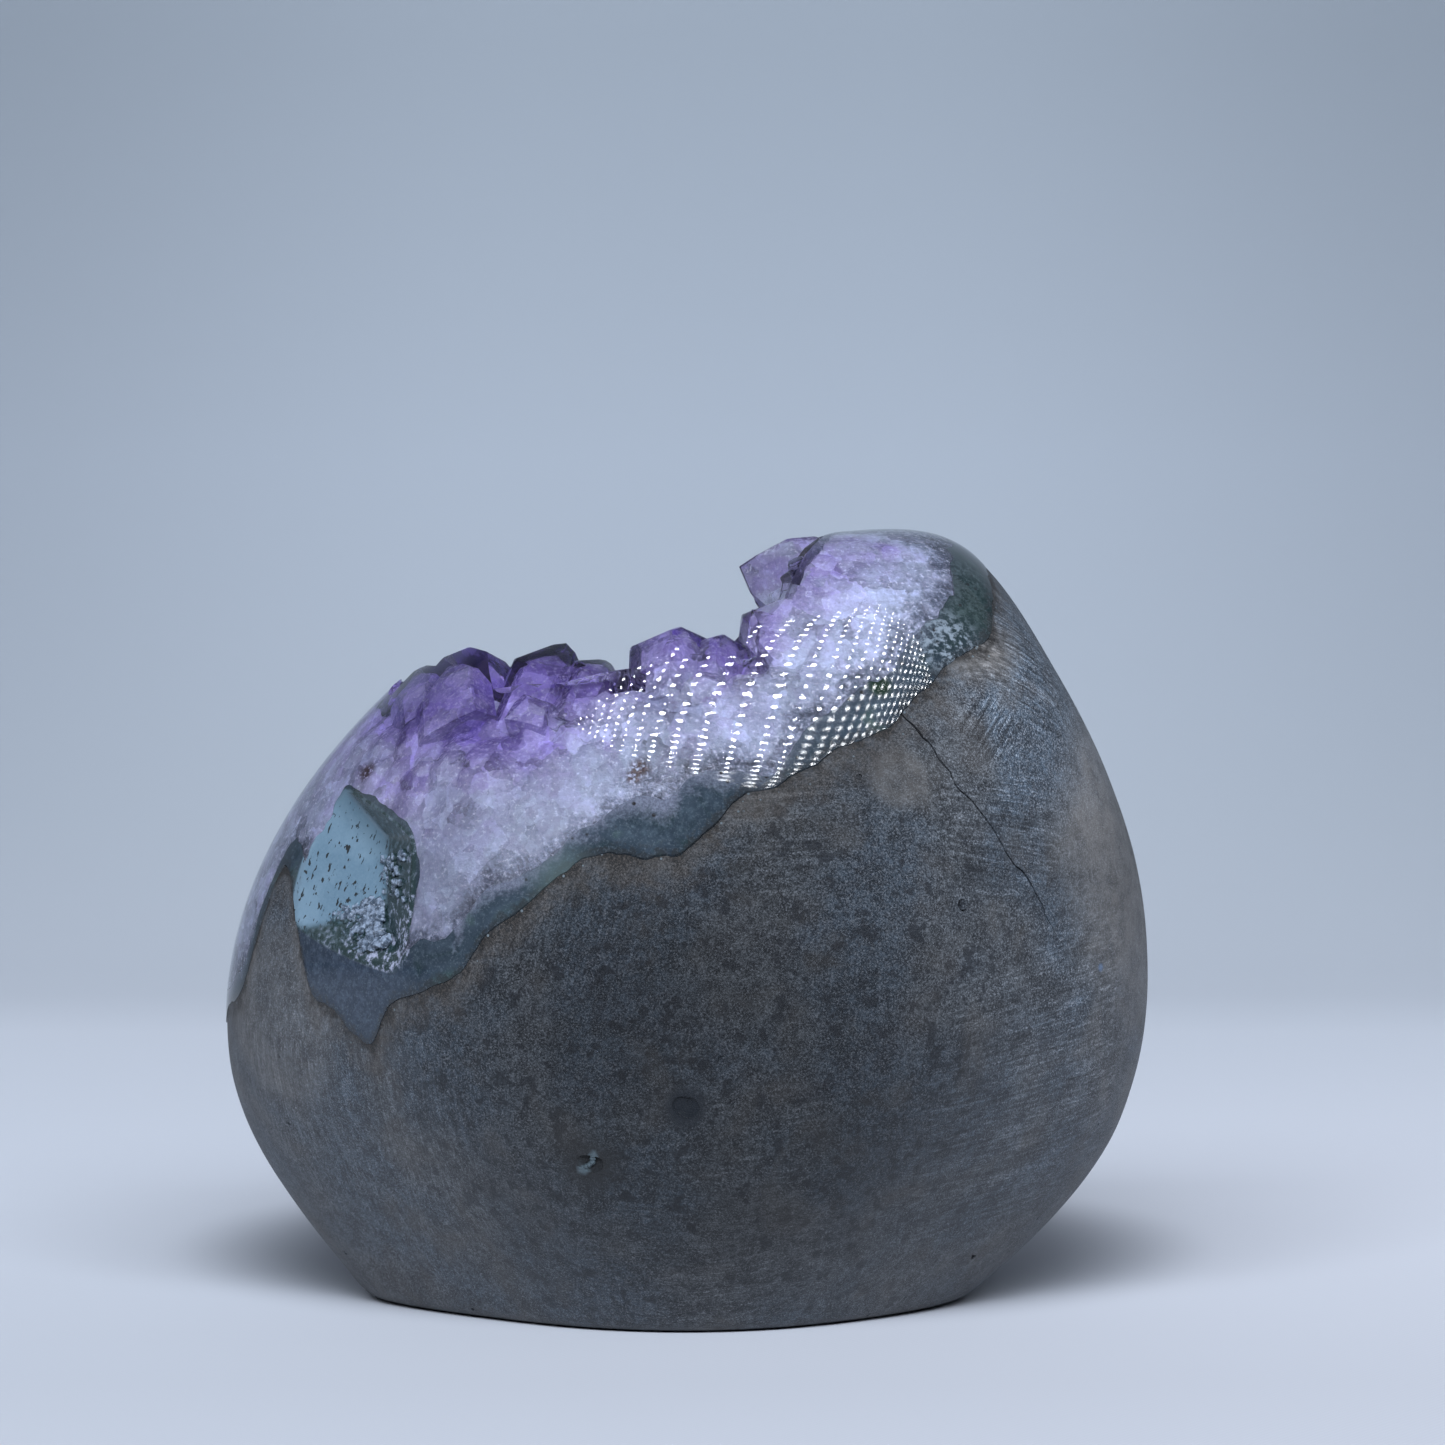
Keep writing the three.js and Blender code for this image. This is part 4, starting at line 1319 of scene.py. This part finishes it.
def core_material():
    s = Shader("milky_quartz")
    mottle = s.noise(0.45, 3, roughness=0.6)
    sugar = s.noise(2.2, 3, roughness=0.7)
    shaken = s.vector("MULTIPLY_ADD", s.noise(0.9, output="Color"), (1.3, 1.3, 1.3), s.place)
    big, big_tint = s.grains(0.21, shaken)
    middling, middling_tint = s.grains(0.48, shaken)
    small, small_tint = s.grains(1.4, shaken)
    share = s.attribute("share")
    drift = share + s.span(mottle, 0.3, 0.7, -0.08, 0.08) + s.span(s.attribute("cell"), 0.0, 1.0, -0.14, 0.14)
    drift = drift + (big_tint - 0.5) * 0.26 + (middling_tint - 0.5) * 0.16
    above_rind = s.attribute("above_rind") + s.span(mottle, 0.3, 0.7, -1.0, 1.0)
    at_rind = s.span(above_rind, 3.2, 0.0) * s.span(share, 0.4, 0.2)
    cloud = s.span(mottle, 0.52, 0.74, 0, 0.5) * s.span(drift, 0.95, 0.3, 0.2, 1.0)
    colour = s.paint(
        s.ramp(drift, CORE_COLOURS),
        (at_rind, s.mix(s.span(sugar, 0.4, 0.6), (0.110, 0.130, 0.165), (0.24, 0.265, 0.33))),
        (cloud, (0.56, 0.58, 0.70)),
    )
    # painted light and shade on the grains' facets
    light = big * 0.9 + middling * 0.7 + small * 0.3 + s.span(small_tint, 0, 1, -0.06, 0.06)
    light = s.math("MAXIMUM", light + 1.0, 0.35)
    colour = s.tint(colour, s.add("CombineColor", {0: light, 1: light, 2: light}))
    colour = s.tint(colour, 0.45, s.span(sugar, 0.44, 0.30, 0, 0.4))
    frosty = s.span(sugar, 0.57, 0.70, 0, 0.6) * s.span(drift, 0.9, 0.4, 0.45, 1.0)
    colour = s.mix(frosty, colour, (0.84, 0.86, 0.94))
    for centre, radius, softness, tone in QUARTZ_TONES:
        colour = s.tint(colour, tone, s.near(centre, radius, softness))
    for centre, radius in BROWN_SPECKS:
        colour = s.mix(s.near(centre, radius) * s.span(sugar, 0.62, 0.48), colour, (0.060, 0.030, 0.022))
    return s.finish({
        "Base Color": colour,
        "Roughness": s.span(sugar, 0.4, 0.7, 0.12, 0.45),
        "IOR": 1.5,
        "Normal": s.bump(sugar + middling * 1.5, 0.5, 0.3),
    })


# ---- The stage ----

CAMERA_PLACE = (0.0036, -0.560, 0.069)
CAMERA_PITCH = 1.126  # degrees below the horizon
CAMERA_LENS = 139.5
SHEET_COLOUR = (0.90, 0.915, 0.95)
# Painted light and shade on the sheet from front to back, where the lights fall off: share of the way between
# two places, and tone.
SHEET_FROM, SHEET_TO = -200, 1200
SHEET_PAINTED_LIGHT = [
    (0.0, 0.34), (0.07, 0.66), (0.10, 0.67), (0.21, 0.86), (0.40, 1), (0.60, (0.80, 0.83, 0.84)),
    (0.73, (0.70, 0.74, 0.765)), (0.83, (0.55, 0.59, 0.61)), (1.0, (0.50, 0.54, 0.56)),
]
SHADE_PLACE = (0, 52, 0)  # the deep shade on the sheet behind the stone
SHADE_SPREAD = (59, 80, 1)
SHADE_COLOUR = (0, 0.012, 0.035)
SHADE = 0.66
WEAVE_SCALE = 0.52  # a twill line every 0.6 mm
WEAVE_COLOUR = (0.3, 0.32, 0.36)


def make_camera():
    data = bpy.data.cameras.new("camera")
    data.lens = CAMERA_LENS
    data.sensor_width = 36
    data.clip_start, data.clip_end = 0.01, 20
    camera = add_object("camera", data)
    camera.location = CAMERA_PLACE
    camera.rotation_euler = (math.radians(90 - CAMERA_PITCH), 0, 0)
    bpy.context.scene.camera = camera


def make_floor():
    """A pale sheet that lies flat and curves up behind the stone."""
    flat_from, flat_to, bend, top, half = -1.2, 0.45, 0.7, 2.2, 2.5  # in metres
    profile = [(flat_from, 0.0), (flat_to, 0.0)]
    for step in range(1, 25):
        turn = math.radians(90 * step / 24)
        profile.append((flat_to + bend * math.sin(turn), bend * (1 - math.cos(turn))))
    profile.append((flat_to + bend, top))
    points = [(x, y, z) for y, z in profile for x in (-half, half)]
    faces = [(2 * i, 2 * i + 1, 2 * i + 3, 2 * i + 2) for i in range(len(profile) - 1)]
    mesh = bpy.data.meshes.new("floor")
    mesh.from_pydata(points, [], faces)
    mesh.polygons.foreach_set("use_smooth", np.ones(len(faces), bool))
    floor = add_object("floor", mesh)
    s = Shader("sheet")
    weave = s.add("Mapping", {"Vector": s.place, "Rotation": (0, 0, 0.5)})
    weave = s.add("TexWave", {"Vector": weave, "Scale": WEAVE_SCALE}, "Fac")
    across = s.add("SeparateXYZ", {0: s.place}, "X")
    back = across.beside("Y")
    way = s.add("MapRange", {"Value": back, "From Min": SHEET_FROM, "From Max": SHEET_TO})
    # painted light, brighter towards the right of the near sheet
    painted_light_right = s.span(across, -120, 160) * s.span(back, 400, 0)
    # painted light and shade on the sheet, by how far back it lies
    tone = s.tint(s.ramp(way, SHEET_PAINTED_LIGHT), (1.09, 1.06, 1.05), painted_light_right)
    # painted shade towards the far left and right of the sheet's back
    aside = s.span(s.math("ABSOLUTE", across), 40, 220) * s.span(back, 300, 800, 0, 0.2)
    shade = s.vector("DIVIDE", s.vector("SUBTRACT", s.place, SHADE_PLACE), SHADE_SPREAD)
    shade = s.span(s.vector("LENGTH", shade, output="Value"), 1.0, 0.62, 0, SHADE)
    colour = s.tint(SHEET_COLOUR, s.mix(aside + shade, tone, SHADE_COLOUR))
    colour = s.mix(weave * 0.05, colour, WEAVE_COLOUR)
    floor.data.materials.append(s.finish({"Base Color": colour, "Roughness": 0.9}))


# The lamp panel, whose glints show on the polished quartz.
PANEL_PLACE = (0.115, -0.272, 0.55)
PANEL_SIZE = (0.235, 0.205)
PANEL_TURN = 45  # degrees about the upright
LAMP_PITCH = 0.0068
LAMP_RADIUS = 0.0011
LAMP_CORNERS = 10
LAMP_COLOUR = (0.93, 0.96, 1.0)
LAMP_STRENGTH = 100

# The bright room, a ball round the stone.
GLOW_REACH = 4.0
GLOW_COLOUR = (0.86, 0.90, 1.0)
GLOW_STRENGTH = 0.26

# Soft lights: place, size, power in watts, and whether a polished surface mirrors them.
LIGHT_AIM = Vector((0, 0, 0.04))
LIGHT_COLOUR = (0.785, 0.865, 1.0)
SOFT_LIGHTS = {
    "front": ((0, -1.2, 0.75), (1.4, 0.4), 32, False),
    "far_front": ((0, -2.6, 1.7), (1.0, 0.9), 36, False),
    "left": ((-0.60, 0.05, 0.34), (0.35, 0.35), 0.12, True),
    "right": ((0.60, 0.02, 0.36), (0.35, 0.35), 0.22, True),
}
SKY_LOW = (0.02, 0.023, 0.03)
SKY_HIGH = (0.065, 0.072, 0.088)


def make_lights():
    """Two soft lights in front, a weaker one on either side, and a dim sky."""
    for name, (place, size, power, mirrored) in SOFT_LIGHTS.items():
        light = bpy.data.lights.new(name, "AREA")
        light.shape = "RECTANGLE"
        light.size, light.size_y = size
        light.energy = power
        light.color = LIGHT_COLOUR
        held = add_object(name, light)
        held.location = place
        held.rotation_euler = (LIGHT_AIM - held.location).to_track_quat("-Z", "Y").to_euler()
        held.visible_glossy = mirrored
        held.visible_camera = False

    world = bpy.data.worlds.new("world")
    world.use_nodes = True
    nodes, links = world.node_tree.nodes, world.node_tree.links
    upward = nodes.new("ShaderNodeSeparateXYZ")
    links.new(nodes.new("ShaderNodeTexCoord").outputs["Generated"], upward.inputs[0])
    mix = nodes.new("ShaderNodeMix")
    mix.data_type = "RGBA"
    mix.inputs[6].default_value, mix.inputs[7].default_value = (*SKY_LOW, 1), (*SKY_HIGH, 1)
    links.new(upward.outputs["Z"], mix.inputs[0])
    links.new(mix.outputs[2], nodes["Background"].inputs[0])
    bpy.context.scene.world = world


def staged_light(name, points, faces, colour, strength, seen_by):
    """A glowing surface of the studio that only some kinds of ray see."""
    mesh = bpy.data.meshes.new(name)
    mesh.from_pydata(points, [], faces)
    glowing = add_object(name, mesh)
    mesh.materials.append(Shader(name).finish({
        "Base Color": (0, 0, 0), "Emission Color": colour, "Emission Strength": strength,
        "Specular IOR Level": 0.0,
    }))
    for ray in ("camera", "diffuse", "glossy", "transmission", "volume_scatter", "shadow"):
        setattr(glowing, "visible_" + ray, ray in seen_by)


def make_lamps():
    """The lamps of a panel in front, which only mirror surfaces see."""
    rows, columns = (int(size / LAMP_PITCH) for size in PANEL_SIZE)
    turn = math.radians(PANEL_TURN)
    points, faces = [], []
    for row, column in itertools.product(range(rows), range(columns)):
        if (row + column) % 2:
            continue
        along = (row - (rows - 1) / 2) * LAMP_PITCH
        across = (column - (columns - 1) / 2) * LAMP_PITCH
        x = PANEL_PLACE[0] + along * math.cos(turn) - across * math.sin(turn)
        y = PANEL_PLACE[1] + along * math.sin(turn) + across * math.cos(turn)
        for corner in range(LAMP_CORNERS):
            angle = 2 * math.pi * corner / LAMP_CORNERS
            points.append((
                x + LAMP_RADIUS * math.cos(angle), y + LAMP_RADIUS * math.sin(angle), PANEL_PLACE[2],
            ))
        faces.append(list(range(len(points) - LAMP_CORNERS, len(points))))
    staged_light("lamps", points, faces, LAMP_COLOUR, LAMP_STRENGTH, ("glossy",))


def make_glow():
    """The bright room all round, as polished surfaces mirror it and clear crystal lets it through."""
    directions, triangles = sphere_grid(8)
    points = [tuple(GLOW_REACH * outward) for outward in directions]
    staged_light("lamps_room", points, triangles, GLOW_COLOUR, GLOW_STRENGTH, ("glossy", "transmission"))


# ---- Putting it together ----

def settle(piece, material, slot, *replaced):
    """Gives a piece its material and its place in the frame."""
    piece.data.materials.clear()
    piece.data.materials.append(material)
    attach(piece, "root")
    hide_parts(*replaced)


make_camera()
make_floor()
make_lights()
make_lamps()
make_glow()
bpy.context.scene.view_settings.view_transform = "Standard"

draw = np.random.default_rng(SEED)

basalt = basalt_body(draw)
shade_polished(basalt, SHARP_ROCK)
places = points_of(basalt)
set_attribute(basalt, "below", np.maximum(basalt_edge_height(azimuth_of(places)) - places[:, 2], 0))
# painted shade in the pits and the crack, by how deep they lie
set_attribute(basalt, "sunk", smoothstep(*PIT_SHADE_DEPTHS, depth_in_body(places)))
away = np.linalg.norm(places[:, None] - FILL_PLACES, axis=2).min(1)
set_attribute(basalt, "fill", smoothstep(*FILL_REACH, away))
settle(basalt, basalt_material(), "basalt", "basalt_matrix")

rind = chalcedony_rind(draw)
shade_polished(rind)
places = points_of(rind)
around = azimuth_of(places)
low, high = basalt_edge_height(around), rind_edge_height(around)
round_bite = above_bite(places).min(1) > -BITE_MARGIN
set_attribute(rind, "from_top", np.where(round_bite, 3.0, np.clip(high - places[:, 2], -1, 8)))
set_attribute(rind, "from_foot", np.clip(places[:, 2] - low, 0, 8))
settle(rind, rind_material(), "amethyst", "amethyst_druse")

hearts = []
crust = amethyst_crust(draw, hearts)
shade_polished(crust)
settle(crust, crust_material(), "amethyst", "amethyst_druse")

core = quartz_core(draw, hearts)
core.data.set_sharp_from_angle(angle=math.radians(SHARP_CORE))
settle(core, core_material(), "amethyst", "amethyst_druse")
